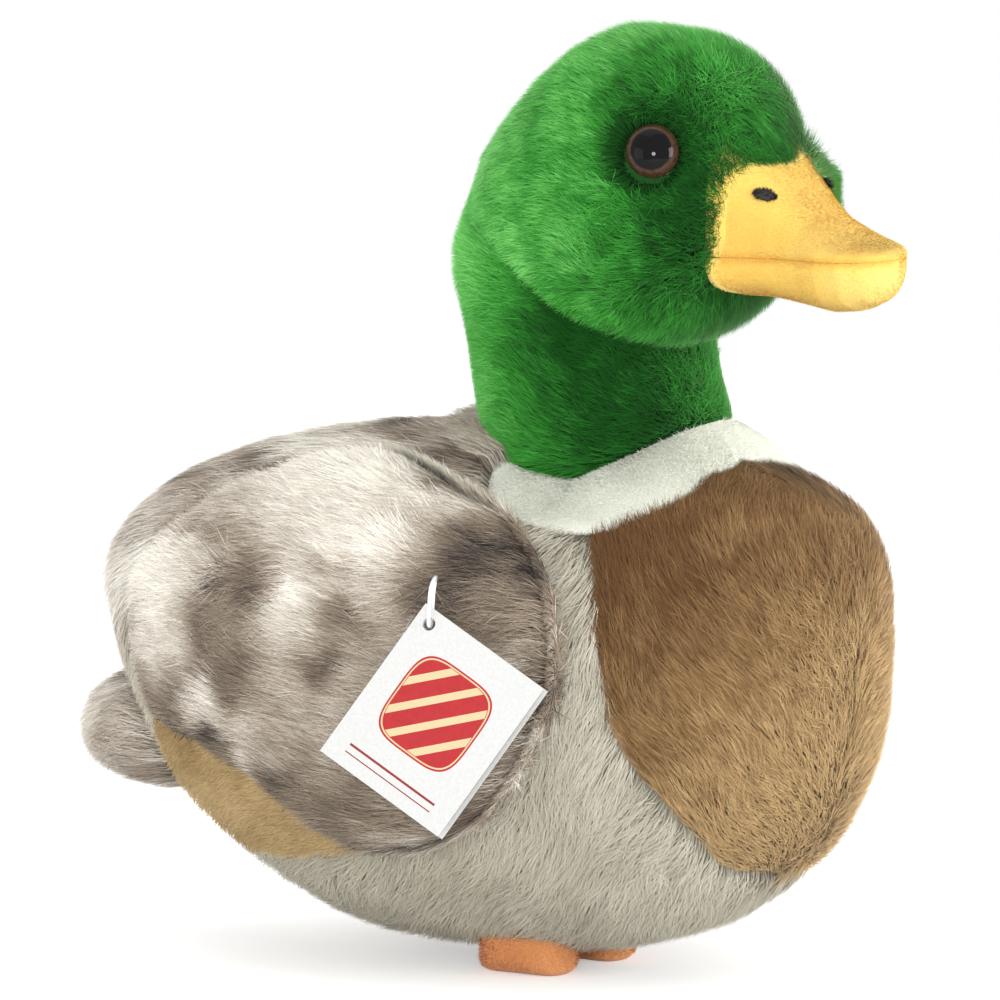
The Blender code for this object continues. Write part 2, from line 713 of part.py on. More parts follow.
def make_eyes(colours, head, stuffing):
    """Eyes, washers, and the pockets that they need in the cover and the filling."""
    direction = unit(np.array(EYE_SHARES) * (HEAD_HALF_WIDTH, HEAD_HALF_LENGTH, HEAD_UP))
    surface = on_ball(HEAD_CENTRE, direction[None], HEAD_HALVES, HEAD_POWERS, 0)[0]
    # The surface's normal, from two points beside this one.
    beside = unit(direction + SLOPE_STEP * np.cross(direction, UP))
    over = unit(direction + SLOPE_STEP * UP)
    first = on_ball(HEAD_CENTRE, beside[None], HEAD_HALVES, HEAD_POWERS, 0)[0] - surface
    second = on_ball(HEAD_CENTRE, over[None], HEAD_HALVES, HEAD_POWERS, 0)[0] - surface
    axis = unit(np.cross(first, second))
    if axis @ direction < 0:
        axis = -axis
    back = surface - EYE_SINK * axis
    arc = np.linspace(math.pi / 2, 0, 6)[1:]
    dome = [(EYE_RADIUS * math.cos(a), EYE_EDGE + (EYE_DOME - EYE_EDGE) * math.sin(a)) for a in arc]
    shank = [(EYE_RADIUS, 0), (SHANK_RADIUS, 0), (SHANK_RADIUS, -SHANK_LENGTH), (0, -SHANK_LENGTH)]
    eye = lathe([(0, EYE_DOME), *dome, *shank], ROUND_SIDES, back, axis)
    washer_top = -(HEAD_COVER - EYE_SINK) - WASHER_DROP
    bore = SHANK_RADIUS + EYE_FIT
    heights = (washer_top, washer_top - WASHER_THICKNESS)
    pocket = [
        (0, EYE_DOME + CUT_OVERRUN),
        (EYE_RADIUS + EYE_FIT, EYE_DOME + CUT_OVERRUN),
        (EYE_RADIUS + EYE_FIT, -EYE_FIT),
        (bore, -EYE_FIT),
        (bore, washer_top + EYE_FIT),
        (WASHER_RADIUS + EYE_FIT, washer_top + EYE_FIT),
        (WASHER_RADIUS + EYE_FIT, washer_top - WASHER_THICKNESS - EYE_FIT),
        (bore, washer_top - WASHER_THICKNESS - EYE_FIT),
        (bore, -SHANK_LENGTH - EYE_FIT),
        (0, -SHANK_LENGTH - EYE_FIT),
    ]
    pocket = lathe(pocket, ROUND_SIDES, back, axis)
    turn = np.linspace(0, 2 * math.pi, ROUND_SIDES, endpoint=False)[:, None]
    side = unit(np.cross(axis, UP))
    ring = np.cos(turn) * side + np.sin(turn) * np.cross(axis, side)
    upper, lower = heights
    corners = ((bore, upper), (WASHER_RADIUS, upper), (WASHER_RADIUS, lower), (bore, lower))
    rings = [back + height * axis + radius * ring for radius, height in corners]
    for name, mirror in (("right", False), ("left", True)):
        add_object(f"eye_{name}", *(mirrored(*eye) if mirror else eye), colours["eye"])
        tube([ring * MIRROR for ring in rings] if mirror else rings, f"eye_washer_{name}", colours["washer"])
        cutter = add_cutter(f"cut_eye_{name}", *(mirrored(*pocket) if mirror else pocket))
        combine(head, cutter)
        combine(stuffing, cutter)


def head_ball(grow):
    return ball_mesh(HEAD_CENTRE, HEAD_HALVES, HEAD_POWERS, grow, HEAD_ROWS, HEAD_COLUMNS)


def make_head(colours, body_core):
    """The head's cover, the filling of head and neck as one piece, and what is let into them."""
    head = add_object("head", *head_ball(0), colours["head"])
    combine(head, add_cutter("cut_head_inside", *head_ball(-HEAD_COVER)))
    base = NECK_ROOT + NECK_AXIS * NECK_RADIUS / 2
    reach = np.linalg.norm(HEAD_CENTRE - base)
    bore_axis = unit(HEAD_CENTRE - base)
    bore = [(0, 0), (HEAD_BORE_RADIUS, 0), (HEAD_BORE_RADIUS, reach), (0, reach)]
    combine(head, add_cutter("cut_head_bore", *lathe(bore, ROUND_SIDES, base, bore_axis)))
    filling = head_ball(-HEAD_COVER - LAYER_GAP)
    stuffing = add_object("head_and_neck_stuffing", *filling, colours["stuffing"])
    # The neck's filling reaches up to the head's cover, and a plug goes through the cover's bore.
    neck_core = add_cutter("neck_filling", *neck_solid(-NECK_COVER - LAYER_GAP, COLLAR_DROP + CUT_OVERRUN))
    combine(neck_core, add_cutter("cut_head_outside", *head_ball(SEAM_GAP)))
    combine(neck_core, body_core)
    plug = HEAD_BORE_RADIUS - LAYER_GAP
    plug = [(0, 0), (plug, 0), (plug, reach), (0, reach)]
    combine(stuffing, neck_core, "UNION")
    combine(stuffing, add_cutter("neck_plug", *lathe(plug, ROUND_SIDES, base, bore_axis)), "UNION")
    cutter = bill_cutter()
    combine(head, cutter)
    combine(stuffing, cutter)
    make_eyes(colours, head, stuffing)


# Wings.


def wing_grid(rings, hem_shares=()):
    """Directions and faces of a sheet over the right wing's middle, with a share for each point.

    The rings lie at even shares of the way to the cover's edge, and the hem's past it. The middle is
    straight out to the side.
    """
    bearing = np.linspace(0, 2 * math.pi, WING_SPOKES, endpoint=False)
    edge = np.interp(np.degrees(bearing), *np.array(WING_COVER_EDGE_DEG).T)
    hem = np.interp(np.degrees(bearing), *np.array(WING_HEM_DEG).T)
    tilts = [edge * ring / WING_RINGS for ring in range(1, rings + 1)]
    tilts += [edge + hem * share for share in hem_shares]
    shares = [ring / WING_RINGS for ring in range(1, rings + 1)] + [1 + share for share in hem_shares]
    tilt = np.radians(tilts)[..., None]
    around = np.cos(bearing)[:, None] * REARWARD + np.sin(bearing)[:, None] * UP
    directions = (np.cos(tilt) * RIGHT + np.sin(tilt) * around).reshape(-1, 3)
    faces = grid_faces(len(tilts), WING_SPOKES, True)
    faces += [(len(directions), (j + 1) % WING_SPOKES, j) for j in range(WING_SPOKES)]
    share = np.append(np.repeat(shares, WING_SPOKES), 0.0)
    return np.concatenate([directions, RIGHT[None]]), share, faces


def chord_sink(directions, faces):
    """How far inside the body's surface the middles of the faces' edges lie."""
    points = on_body(directions, 0)
    pairs = np.array([(face[i], face[i - 1]) for face in faces for i in range(len(face))])
    diagonals = np.array([(face[0], face[2]) for face in faces if len(face) > 3])
    pairs = np.concatenate([pairs, diagonals])
    middle = (points[pairs[:, 0]] + points[pairs[:, 1]]) / 2 - BODY_CENTRE
    reach = np.linalg.norm(middle, axis=1)
    return (radius_along(middle / reach[:, None], BODY_HALVES, BODY_POWERS) - reach).max()


def swell(share, edge, crown):
    """A pad's thickness: the crown in the middle, falling in a quarter ellipse to the edge."""
    return edge + (crown - edge) * np.sqrt(np.clip(1 - share**3, 0, 1))


def wing_levels():
    """Heights over the body: the lining's underside and top, the wadding's, and the cover's top."""
    directions, share, faces = wing_grid(WING_RINGS, WING_HEM_SHARES)
    low = LAYER_GAP + chord_sink(directions, faces)
    lining_top = low + WING_LINING
    wadding_low = lining_top + SEAM_GAP
    wadding_top = wadding_low + WING_WADDING
    return low, lining_top, wadding_low, wadding_top, wadding_top + SEAM_GAP + WING_COVER


def above_wing(point):
    """How far a point lies above the right wing's cover, along the line from the body's centre."""
    wadding_low, cover_top = wing_levels()[2], wing_levels()[4]
    arm = point - BODY_CENTRE
    reach = np.linalg.norm(arm)
    direction = arm / reach
    bearing = math.degrees(math.atan2(direction @ UP, direction @ REARWARD)) % 360
    edge = np.interp(bearing, *np.array(WING_COVER_EDGE_DEG).T)
    share = math.degrees(math.acos(direction @ RIGHT)) / edge
    height = swell(share, wadding_low + WING_EDGE, cover_top)
    return reach - radius_along(direction, BODY_HALVES, BODY_POWERS) - height


def wing_layers():
    """Lining, wadding and cover of the right wing, from the body outwards."""
    directions, share, faces = wing_grid(WING_RINGS, WING_HEM_SHARES)
    low, lining_top, wadding_low, wadding_top, cover_top = wing_levels()
    inner_share = (WING_RINGS - 1) / WING_RINGS

    def wadding_high(share):
        return swell(share / inner_share, wadding_low + WING_EDGE / 2, wadding_top)

    lining_high = np.where(share < share.max(), lining_top, low + WING_LINING / 2)
    lining = skin(on_body(directions, lining_high), on_body(directions, low), faces)
    directions, share, faces = wing_grid(WING_RINGS - 1)
    wadding = skin(on_body(directions, wadding_high(share)), on_body(directions, wadding_low), faces)
    directions, share, faces = wing_grid(WING_RINGS)
    cover_low = np.where(share < 1, wadding_high(share) + SEAM_GAP, wadding_low)
    cover_high = swell(share, wadding_low + WING_EDGE, cover_top)
    cover = skin(on_body(directions, cover_high), on_body(directions, cover_low), faces)
    return lining, wadding, cover


def pivot(name, place):
    """An empty on a joint's axis."""
    made = bpy.data.objects.new(name, None)
    made.location = place + MIDDLE
    made.empty_display_size = EYE_RADIUS
    bpy.context.scene.collection.objects.link(made)
    return made


def hang(piece, holder):
    """Parents a piece to an empty and keeps it where it is."""
    piece.parent = holder
    piece.matrix_parent_inverse.identity()
    piece.location = tuple(-np.array(holder_place(holder)))


def holder_place(holder):
    """Where an empty is in the world."""
    place = np.array(holder.location)
    while holder.parent:
        holder = holder.parent
        place = place + np.array(holder.location)
    return place


def wing_hinge():
    """A point of the right wing's hinge line, which runs along Y near the wing's sewn top edge."""
    height = BODY_UP * math.sqrt(1 - (WING_HINGE_INSET / BODY_HALF_WIDTH) ** 2)
    return BODY_CENTRE + np.array([-WING_HINGE_INSET, -BODY_CENTRE[1], height + WING_HINGE_OUT])


def make_wings(colours):
    layers = dict(zip(("lining", "wadding", "cover"), wing_layers()))
    paints = {"lining": colours["tan"], "wadding": colours["stuffing"], "cover": colours["mottled"]}
    hinge = wing_hinge()
    pivots = {}
    for side, mirror in (("right", False), ("left", True)):
        place = hinge * MIRROR if mirror else hinge
        pivots[side] = pivot(f"pivot_wing_{side}", place)
        for layer, (points, faces) in layers.items():
            points, faces = mirrored(points, faces) if mirror else (points, faces)
            hang(add_object(f"wing_{side}_{layer}", points, faces, paints[layer]), pivots[side])
    return pivots["right"], layers["cover"][0]


def make_tail(colours, body_cutter):
    """The tail's cover, open where it is sewn to the body, and its filling."""
    centre = BODY_CENTRE + np.array([0.0, BODY_REAR - TAIL_INSET, -TAIL_DROP])
    outer, inner, core = (
        ball_mesh(centre, TAIL_HALVES, TAIL_POWERS, grow, TAIL_ROWS, TAIL_COLUMNS, REARWARD, UP)
        for grow in (0, -TAIL_COVER, -TAIL_COVER - LAYER_GAP)
    )
    tail = add_object("tail", *outer, colours["mottled"])
    combine(tail, body_cutter)
    combine(tail, add_cutter("cut_tail_inside", *inner))
    stuffing = add_object("tail_stuffing", *core, colours["stuffing"])
    combine(stuffing, body_cutter)


def make_feet(colours, body_cutter):
    """Padded feet with a flat sole on the ground, pressed by the belly from above."""
    centre = np.array([-FOOT_SPREAD, BODY_Y - FOOT_AHEAD, FOOT_HALF_HEIGHT - FOOT_FLAT])
    points, faces = ball_mesh(centre, FOOT_HALVES, FOOT_POWERS, 0, FOOT_ROWS, FOOT_COLUMNS, UP, -REARWARD)
    # Below the ground, each point is drawn back along its line to the centre.
    low = points[:, 2] < 0
    points[low] = centre + (points[low] - centre) * (centre[2] / (centre[2] - points[low, 2]))[:, None]
    right = add_object("foot_right", points, faces, colours["foot"])
    left = add_object("foot_left", *mirrored(points, faces), colours["foot"])
    combine(right, body_cutter)
    combine(left, body_cutter)


# Swing tag.


def tag_frame(wing_points):
    """The hole's centre on the back leaf's outer face, and the card's out, down and rearward directions."""
    azimuth, tilt = math.radians(CARD_AZIMUTH_DEG), math.radians(CARD_TILT_DEG)
    out = np.array([-math.sin(azimuth) * math.cos(tilt), -math.cos(azimuth) * math.cos(tilt), math.sin(tilt)])
    down = unit(-UP - (-UP @ out) * out)
    rearward = np.cross(down, out)
    if rearward[1] < 0:
        rearward = -rearward
    level = (wing_points @ out).max() + CARD_OFF_WING + CARD_THICKNESS
    hole = BODY_CENTRE + np.array([0.0, -CARD_AHEAD, CARD_RISE])
    hole[0] = (level - hole @ out) / out[0]
    return hole, out, down, rearward


def card_leaf(hole, out, fold, across, low, high):
    """Points and faces of one leaf: a plate with a round hole, from low to high along out."""
    end = -CARD_HOLE_FROM_END
    near = -CARD_HOLE_FROM_FOLD
    far, wide = end + CARD_LENGTH, near + CARD_WIDTH
    corners = [(end, near), (far, near), (far, wide), (end, wide)]
    turn = np.linspace(-math.pi, math.pi, CARD_HOLE_SIDES, endpoint=False) + math.pi / 4
    ring = list(zip(CARD_HOLE_RADIUS * np.cos(turn), CARD_HOLE_RADIUS * np.sin(turn)))
    flat = np.array(corners + ring)
    faces = []
    # Each corner joins a quarter of the hole's points: those that face it.
    angles = [math.atan2(v, u) for u, v in corners]
    owner = []
    for u, v in ring:
        here = math.atan2(v, u)
        away = [abs((angle - here + math.pi) % (2 * math.pi) - math.pi) for angle in angles]
        owner.append(away.index(min(away)))
    for j in range(CARD_HOLE_SIDES):
        k = (j + 1) % CARD_HOLE_SIDES
        if owner[j] == owner[k]:
            faces.append((owner[j], 4 + k, 4 + j))
        else:
            faces.append((owner[j], owner[k], 4 + k, 4 + j))
    sheet = hole + flat[:, :1] * fold + flat[:, 1:] * across
    return skin(sheet + high * out, sheet + low * out, faces)


def turned(points, place, axis, angle):
    """Points turned round an axis through place."""
    axis = unit(axis)
    arm = points - place
    along = (arm @ axis)[:, None] * axis
    return place + along + (arm - along) * math.cos(angle) + np.cross(axis, arm) * math.sin(angle)


def make_tag(colours, wing_pivot, wing_points):
    hole, out, down, rearward = tag_frame(wing_points)
    # The card hangs with its middle below the hole, a little swung round by the pile.
    middle_along = CARD_LENGTH / 2 - CARD_HOLE_FROM_END
    middle_across = CARD_WIDTH / 2 - CARD_HOLE_FROM_FOLD
    lean = math.atan2(middle_across, middle_along) - math.radians(CARD_SWUNG_DEG)
    fold = math.cos(lean) * down + math.sin(lean) * rearward
    across = math.sin(lean) * down - math.cos(lean) * rearward
    back_shape = card_leaf(hole, out, fold, across, -CARD_THICKNESS, 0.0)
    front_shape = card_leaf(hole, out, fold, across, CARD_FOLD_GAP, CARD_FOLD_GAP + CARD_THICKNESS)
    hinge = hole - CARD_HOLE_FROM_FOLD * across + CARD_FOLD_GAP * out
    opening = math.radians(CARD_OPEN_DEG)
    turning = fold if np.cross(fold, across) @ out > 0 else -fold
    front_points = turned(front_shape[0], hinge, turning, opening)

    # The loop: through the hole, clear of both leaves past the card's corner, then down to the pile.
    turn = np.linspace(0, 2 * math.pi, LOOP_POINTS, endpoint=False)
    sine, cosine = np.sin(turn), np.cos(turn)
    power = np.where(cosine > 0, LOOP_SQUARE_POWER, 1.0)
    lane = np.sign(sine) * np.abs(sine) ** power
    rise = (1 - np.sign(cosine) * np.abs(cosine) ** power) / 2
    top = hole + (LOOP_FRONT - LOOP_BACK) / 2 * out - (LOOP_LENGTH - LOOP_RADIUS) * down
    near, far = 0.0, LOOP_LENGTH
    for _ in range(40):
        middle = (near + far) / 2
        if above_wing(top - middle * out) > LOOP_RADIUS + SEAM_GAP:
            near = middle
        else:
            far = middle
    bend = np.clip((rise - LOOP_STRAIGHT_SHARE) / (1 - LOOP_STRAIGHT_SHARE), 0, 1)
    offset = (LOOP_FRONT - LOOP_BACK) / 2 + (LOOP_FRONT + LOOP_BACK) / 2 * lane - near * bend**3
    height = LOOP_LENGTH * rise - LOOP_RADIUS
    path = hole + offset[:, None] * out - height[:, None] * down
    curve = bpy.data.curves.new("tag_loop", "CURVE")
    curve.dimensions = "3D"
    curve.bevel_depth = LOOP_RADIUS
    curve.bevel_resolution = 1
    line = curve.splines.new("POLY")
    line.points.add(LOOP_POINTS - 1)
    for point, place in zip(line.points, path):
        point.co = (*(place + MIDDLE), 1.0)
    line.use_cyclic_u = True
    curve.materials.append(colours["loop"])
    loop = bpy.data.objects.new("tag_loop", curve)
    bpy.context.scene.collection.objects.link(loop)

    root = path[np.argmax(height)]
    loop_pivot = pivot("pivot_tag_loop", root)
    swing_pivot = pivot("pivot_tag", hole)
    leaf_pivot = pivot("pivot_tag_leaf", hinge)
    for held, holder in ((loop_pivot, wing_pivot), (swing_pivot, loop_pivot), (leaf_pivot, swing_pivot)):
        place = np.array(held.location)
        held.location = place - holder_place(holder)
        held.parent = holder
    hang(loop, loop_pivot)
    hang(add_object("tag_back_leaf", *back_shape, colours["card"]), swing_pivot)
    hang(add_object("tag_front_leaf", front_points, front_shape[1], colours["card"]), leaf_pivot)
    print("tag hole", (hole + MIDDLE).round(5), "out", out.round(5))
    print("loop root", (root + MIDDLE).round(5), "axis", rearward.round(5))
    print("fold", (hinge + MIDDLE).round(5), "axis", turning.round(5))
    print("least height of the loop over the wing", round(min(above_wing(place) for place in path), 5))


def main():
    clear_scene()
    colours = {
        "head": plush("green_plush", (0.08, 0.33, 0.06)),
        "collar": plush("white_velour", (0.74, 0.74, 0.64)),
        "breast": plush("brown_plush", (0.25, 0.16, 0.08)),
        "belly": plush("grey_plush", (0.47, 0.44, 0.36)),
        "mottled": plush("mottled_plush", (0.44, 0.38, 0.32)),
        "tan": plush("tan_plush", (0.40, 0.28, 0.14)),
        "bill": plush("yellow_velour", (0.93, 0.66, 0.12)),
        "foot": plush("orange_velour", (0.68, 0.27, 0.10)),
        "thread": plush("black_thread", (0.01, 0.01, 0.01), 0.6),
        "eye": plush("eye_gloss", (0.03, 0.018, 0.01), 0.08),
        "washer": plush("washer_plastic", (0.8, 0.8, 0.78), 0.4),
        "stuffing": plush("polyester_filling", (0.85, 0.85, 0.83)),
        "card": plush("tag_card", (0.86, 0.86, 0.84), 0.45),
        "loop": plush("loop_plastic", (0.8, 0.8, 0.8), 0.35),
    }
    body_cutter = add_cutter("cut_body", *body_ball(LAYER_GAP))
    body_core = add_cutter("cut_body_core", *body_ball(-BODY_COVER))
    head_cutter = add_cutter("cut_head", *head_ball(SEAM_GAP))
    make_body(colours)
    make_neck_and_collar(colours, body_cutter, head_cutter)
    make_head(colours, body_core)
    make_bill(colours)
    wing_pivot, wing_points = make_wings(colours)
    make_tail(colours, body_cutter)
    make_feet(colours, body_cutter)
    make_tag(colours, wing_pivot, wing_points)
    print("wing hinge", (wing_hinge() + MIDDLE).round(5))


main()
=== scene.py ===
# %% [markdown]
# # A plush duck, strand by strand
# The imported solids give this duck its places, seams and joints. This lesson dresses them: thin
# backings a few millimetres under the pile, then the pile itself, several hundred thousand flat
# tapering strands that numpy works out as whole arrays. A real pile hides its backing, so the
# colour, the combing and the parting of the strands are what the eye reads as plush.

# %% Frame and tools
import json
import math

import bpy
import numpy as np
from mathutils import Matrix


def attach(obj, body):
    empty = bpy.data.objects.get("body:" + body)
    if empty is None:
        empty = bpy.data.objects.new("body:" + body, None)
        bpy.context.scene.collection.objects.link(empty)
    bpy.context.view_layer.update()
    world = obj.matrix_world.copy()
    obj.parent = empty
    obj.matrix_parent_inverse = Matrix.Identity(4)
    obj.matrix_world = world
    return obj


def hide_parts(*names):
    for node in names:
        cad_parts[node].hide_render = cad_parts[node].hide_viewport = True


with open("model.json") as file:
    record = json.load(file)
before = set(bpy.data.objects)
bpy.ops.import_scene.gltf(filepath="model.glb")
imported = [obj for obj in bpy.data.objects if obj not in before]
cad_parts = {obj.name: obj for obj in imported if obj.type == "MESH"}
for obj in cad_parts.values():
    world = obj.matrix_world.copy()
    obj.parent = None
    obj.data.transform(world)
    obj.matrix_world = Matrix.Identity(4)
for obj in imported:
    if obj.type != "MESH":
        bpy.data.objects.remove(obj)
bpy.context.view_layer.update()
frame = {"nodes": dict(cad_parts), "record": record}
nodes = frame["nodes"]
MM = 0.001
DENSITY = 1.0
MIDDLE = np.array([0.0085, 0.002, 0.0])
RIGHT, REARWARD, UP = np.array([-1.0, 0, 0]), np.array([0, 1.0, 0]), np.array([0, 0, 1.0])
AS_IS, MIRROR = np.ones(3), np.array([-1.0, 1.0, 1.0])
SIDES = {"right": AS_IS, "left": MIRROR}

# %% [markdown]
# Every mesh goes in as arrays. A shape is its points and its faces, with the faces of one length
# as the index rows of one array. A look is the body that a piece rides on, its slot and its
# material. Shapes are worked out with the duck's plane of symmetry at x = 0, turned over for the
# left side, and moved by MIDDLE at the end, as the solids were.

# %% Meshes from arrays
def unit(vector):
    vector = np.asarray(vector, float)
    return vector / np.maximum(np.linalg.norm(vector, axis=-1, keepdims=True), 1e-12)


def put_mesh(name, shape, look, node=None, mirror=AS_IS):
    """A shape as an object with its look, in the place of a solid if one is named."""
    points, faces = shape
    body, slot, material = look
    if mirror[0] < 0:
        faces = [group[:, ::-1] for group in faces]
    mesh = bpy.data.meshes.new(name)
    mesh.vertices.add(len(points))
    mesh.vertices.foreach_set("co", (points * mirror + MIDDLE).astype(np.float32).ravel())
    corners = np.concatenate([group.ravel() for group in faces]).astype(np.int32)
    sizes = np.concatenate([np.full(len(group), group.shape[1]) for group in faces])
    starts = np.concatenate([[0], np.cumsum(sizes)[:-1]]).astype(np.int32)
    mesh.loops.add(len(corners))
    mesh.loops.foreach_set("vertex_index", corners)
    mesh.polygons.add(len(sizes))
    mesh.polygons.foreach_set("loop_start", starts)
    mesh.update(calc_edges=True)
    mesh.shade_smooth()
    mesh.materials.append(material)
    made = bpy.data.objects.new(name, mesh)
    bpy.context.scene.collection.objects.link(made)
    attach(made, body)
    if node:
        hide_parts(node)
    return made


def put_pad(name, shape, look, node, mirror=AS_IS):
    """A padded piece in the place of a soft solid."""
    put_mesh(name, shape, look, node, mirror)


def grid_quads(rows, columns):
    """Quads of a grid of points stored row by row, with its last column joined to its first."""
    i, j = np.meshgrid(np.arange(rows - 1), np.arange(columns), indexing="ij")
    k = (j + 1) % columns
    quads = [i * columns + j, i * columns + k, (i + 1) * columns + k, (i + 1) * columns + j]
    return np.stack(quads, axis=-1).reshape(-1, 4)


def fan(first, columns, hub):
    """Triangles from a ring of points, stored from the first on, to the one point at the hub."""
    j = np.arange(columns)
    return np.stack([first + j, first + (j + 1) % columns, np.full(columns, hub)], axis=-1)


def faced_out(points, faces):
    """Turns every face over if the closed form would have a negative volume."""
    volume = 0.0
    for group in faces:
        for k in range(1, group.shape[1] - 1):
            a, b, c = points[group[:, 0]], points[group[:, k]], points[group[:, k + 1]]
            volume += np.einsum("ij,ij->", a, np.cross(b, c))
    return faces if volume > 0 else [group[:, ::-1] for group in faces]


def shell(outer, inner, quads, fans=None):
    """Closed skin between two copies of a sheet: both sheets, and a rim along every open edge."""
    groups = [quads] if fans is None else [quads, fans]
    used = np.unique(np.concatenate([group.ravel() for group in groups]))
    place = np.zeros(len(outer), int)
    place[used] = np.arange(len(used))
    groups = [place[group] for group in groups]
    count = len(used)
    edges = np.concatenate([np.stack([g, np.roll(g, -1, axis=1)], -1).reshape(-1, 2) for g in groups])
    code = edges[:, 0] * count + edges[:, 1]
    rim = edges[~np.isin(edges[:, 1] * count + edges[:, 0], code)]
    rim = np.stack([rim[:, 1], rim[:, 0], rim[:, 0] + count, rim[:, 1] + count], axis=-1)
    points = np.concatenate([outer[used], inner[used]])
    faces = groups + [group[:, ::-1] + count for group in groups]
    return points, faced_out(points, [*faces, rim])


def loft(rings):
    """Rings of points joined into a closed form, with a fan of triangles over each end."""
    rows, columns = rings.shape[:2]
    points = np.concatenate([rings.reshape(-1, 3), [rings[0].mean(0), rings[-1].mean(0)]])
    count = rows * columns
    ends = [fan(0, columns, count)[:, [1, 0, 2]], fan(count - columns, columns, count + 1)]
    return points, faced_out(points, [grid_quads(rows, columns), np.concatenate(ends)])


# %% [markdown]
# A superball is a ball whose half sizes and powers differ to the front, the rear, above and below.
# Along a unit direction its surface lies at 1 / gauge, where side = (|y / half_y| ** n +
# |z / half_z| ** n) ** (1 / n) and gauge = (side ** m + |x / half_x| ** m) ** (1 / m). The body,
# the head, the tail and the feet are all such balls, at the solids' own sizes.

# %% Superballs
class Superball:
    """Half sizes: side, front, rear, above, below. Powers: front and rear above, below, and side."""

    def __init__(self, centre, halves, powers):
        self.centre, self.halves, self.powers = centre, halves, powers

    def reach(self, directions):
        """How far the surface lies from the centre along each unit direction."""
        half_x, front, rear, above, below = self.halves
        front_up, rear_up, front_down, rear_down, power_x = self.powers
        x, y, z = np.moveaxis(directions, -1, 0)
        along = np.abs(y) / np.where(y < 0, front, rear)
        height = np.abs(z) / np.where(z > 0, above, below)
        upper, lower = np.where(y < 0, front_up, rear_up), np.where(y < 0, front_down, rear_down)
        power = np.where(z > 0, upper, lower)
        side = (along**power + height**power) ** (1 / power)
        return 1 / (side**power_x + (np.abs(x) / half_x) ** power_x) ** (1 / power_x)

    def at(self, directions, grow=0.0):
        """Points on the surface, or grow outside it."""
        return self.centre + directions * (self.reach(directions) + grow)[..., None]

    def over(self, points):
        """How far points lie outside the surface, along their lines to the centre."""
        arms = points - self.centre
        far = np.linalg.norm(arms, axis=-1)
        return far - self.reach(arms / far[..., None])


BODY = Superball(
    np.array([0.0, 0.007, 0.089]), (0.062, 0.114, 0.096, 0.041, 0.085), (2.95, 1.85, 2.7, 1.85, 2.0)
)
NECK_ROOT = BODY.centre + np.array([0.0, -0.0422, 0.038])
HEAD = Superball(
    NECK_ROOT + np.array([0.0, -0.0075, 0.059]),
    (0.0375, 0.0415, 0.0415, 0.0457, 0.0335), (2.9, 1.6, 2.0, 2.0, 2.1),
)
TAIL = Superball(
    BODY.centre + np.array([0.0, 0.0755, -0.0383]), (0.026, 0.0285, 0.0285, 0.014, 0.014), (2.3,) * 5
)


def normals_of(surface, directions):
    """Outward normals of a surface given by its directions, from two neighbours of each point."""
    helper = np.where(np.abs(directions[..., 2:]) < 0.9, UP, RIGHT)
    first = unit(np.cross(directions, helper))
    second = np.cross(directions, first)
    step = 0.01
    here = surface(directions)
    arms = [surface(unit(directions + step * way)) - here for way in (first, second)]
    normal = unit(np.cross(*arms))
    return normal * np.sign(np.einsum("...i,...i", normal, directions))[..., None]


def rooted(surface, directions, grow):
    """Roots of a pile at a height over a surface, and the surface's normals there."""
    return surface(directions, grow), normals_of(surface, directions)


def ball_directions(rows, columns, axis=UP, ahead=-REARWARD):
    """A grid of directions round an axis, pole to pole, its last column over its first."""
    tilt = np.linspace(0, math.pi, rows)[:, None, None]
    turn = np.linspace(0, 2 * math.pi, columns)[None, :, None]
    around = np.cos(turn) * ahead + np.sin(turn) * np.cross(ahead, axis)
    return np.cos(tilt) * axis + np.sin(tilt) * around


def fade(value, start, width):
    """0 up to the start, then rising to 1 over the width."""
    return np.clip((value - start) / width, 0, 1)


# %% [markdown]
# Value noise: a random number at each corner of a lattice, blended smoothly between corners. The
# numbers come from mixing the corner's three whole coordinates, so the same place always gets the
# same value. It parts the pile into clumps, and it mottles the wings.

# %% Noise
def noise(points, size, seed):
    """Smooth noise from -1 to 1 with lumps of the given size in metres, one size or one an axis."""
    scaled = points / np.asarray(size, float)
    corner = np.floor(scaled).astype(np.int64)
    blend = scaled - corner
    blend = blend * blend * (3 - 2 * blend)
    total = np.zeros(points.shape[:-1])
    for offset in np.ndindex(2, 2, 2):
        x, y, z = np.moveaxis(corner + np.array(offset), -1, 0)
        mixed = x * 73856093 ^ y * 19349663 ^ z * 83492791 ^ seed * 2654435761
        mixed = (mixed ^ (mixed >> 13)) * 1274126177 & 0x7FFFFFFF
        share = np.where(np.array(offset) == 1, blend, 1 - blend).prod(-1)
        total += share * ((mixed ^ (mixed >> 16)) & 0xFFFF) / 32767.5
    return total - 1


# %% [markdown]
# ## Paint
# Shader arithmetic reads like arithmetic here. A Wire holds one output socket, and an operator on
# it adds the Math node that does the sum. Paint is one material, and its node method makes any
# other node from its type, its settings and the values or wires of its sockets.

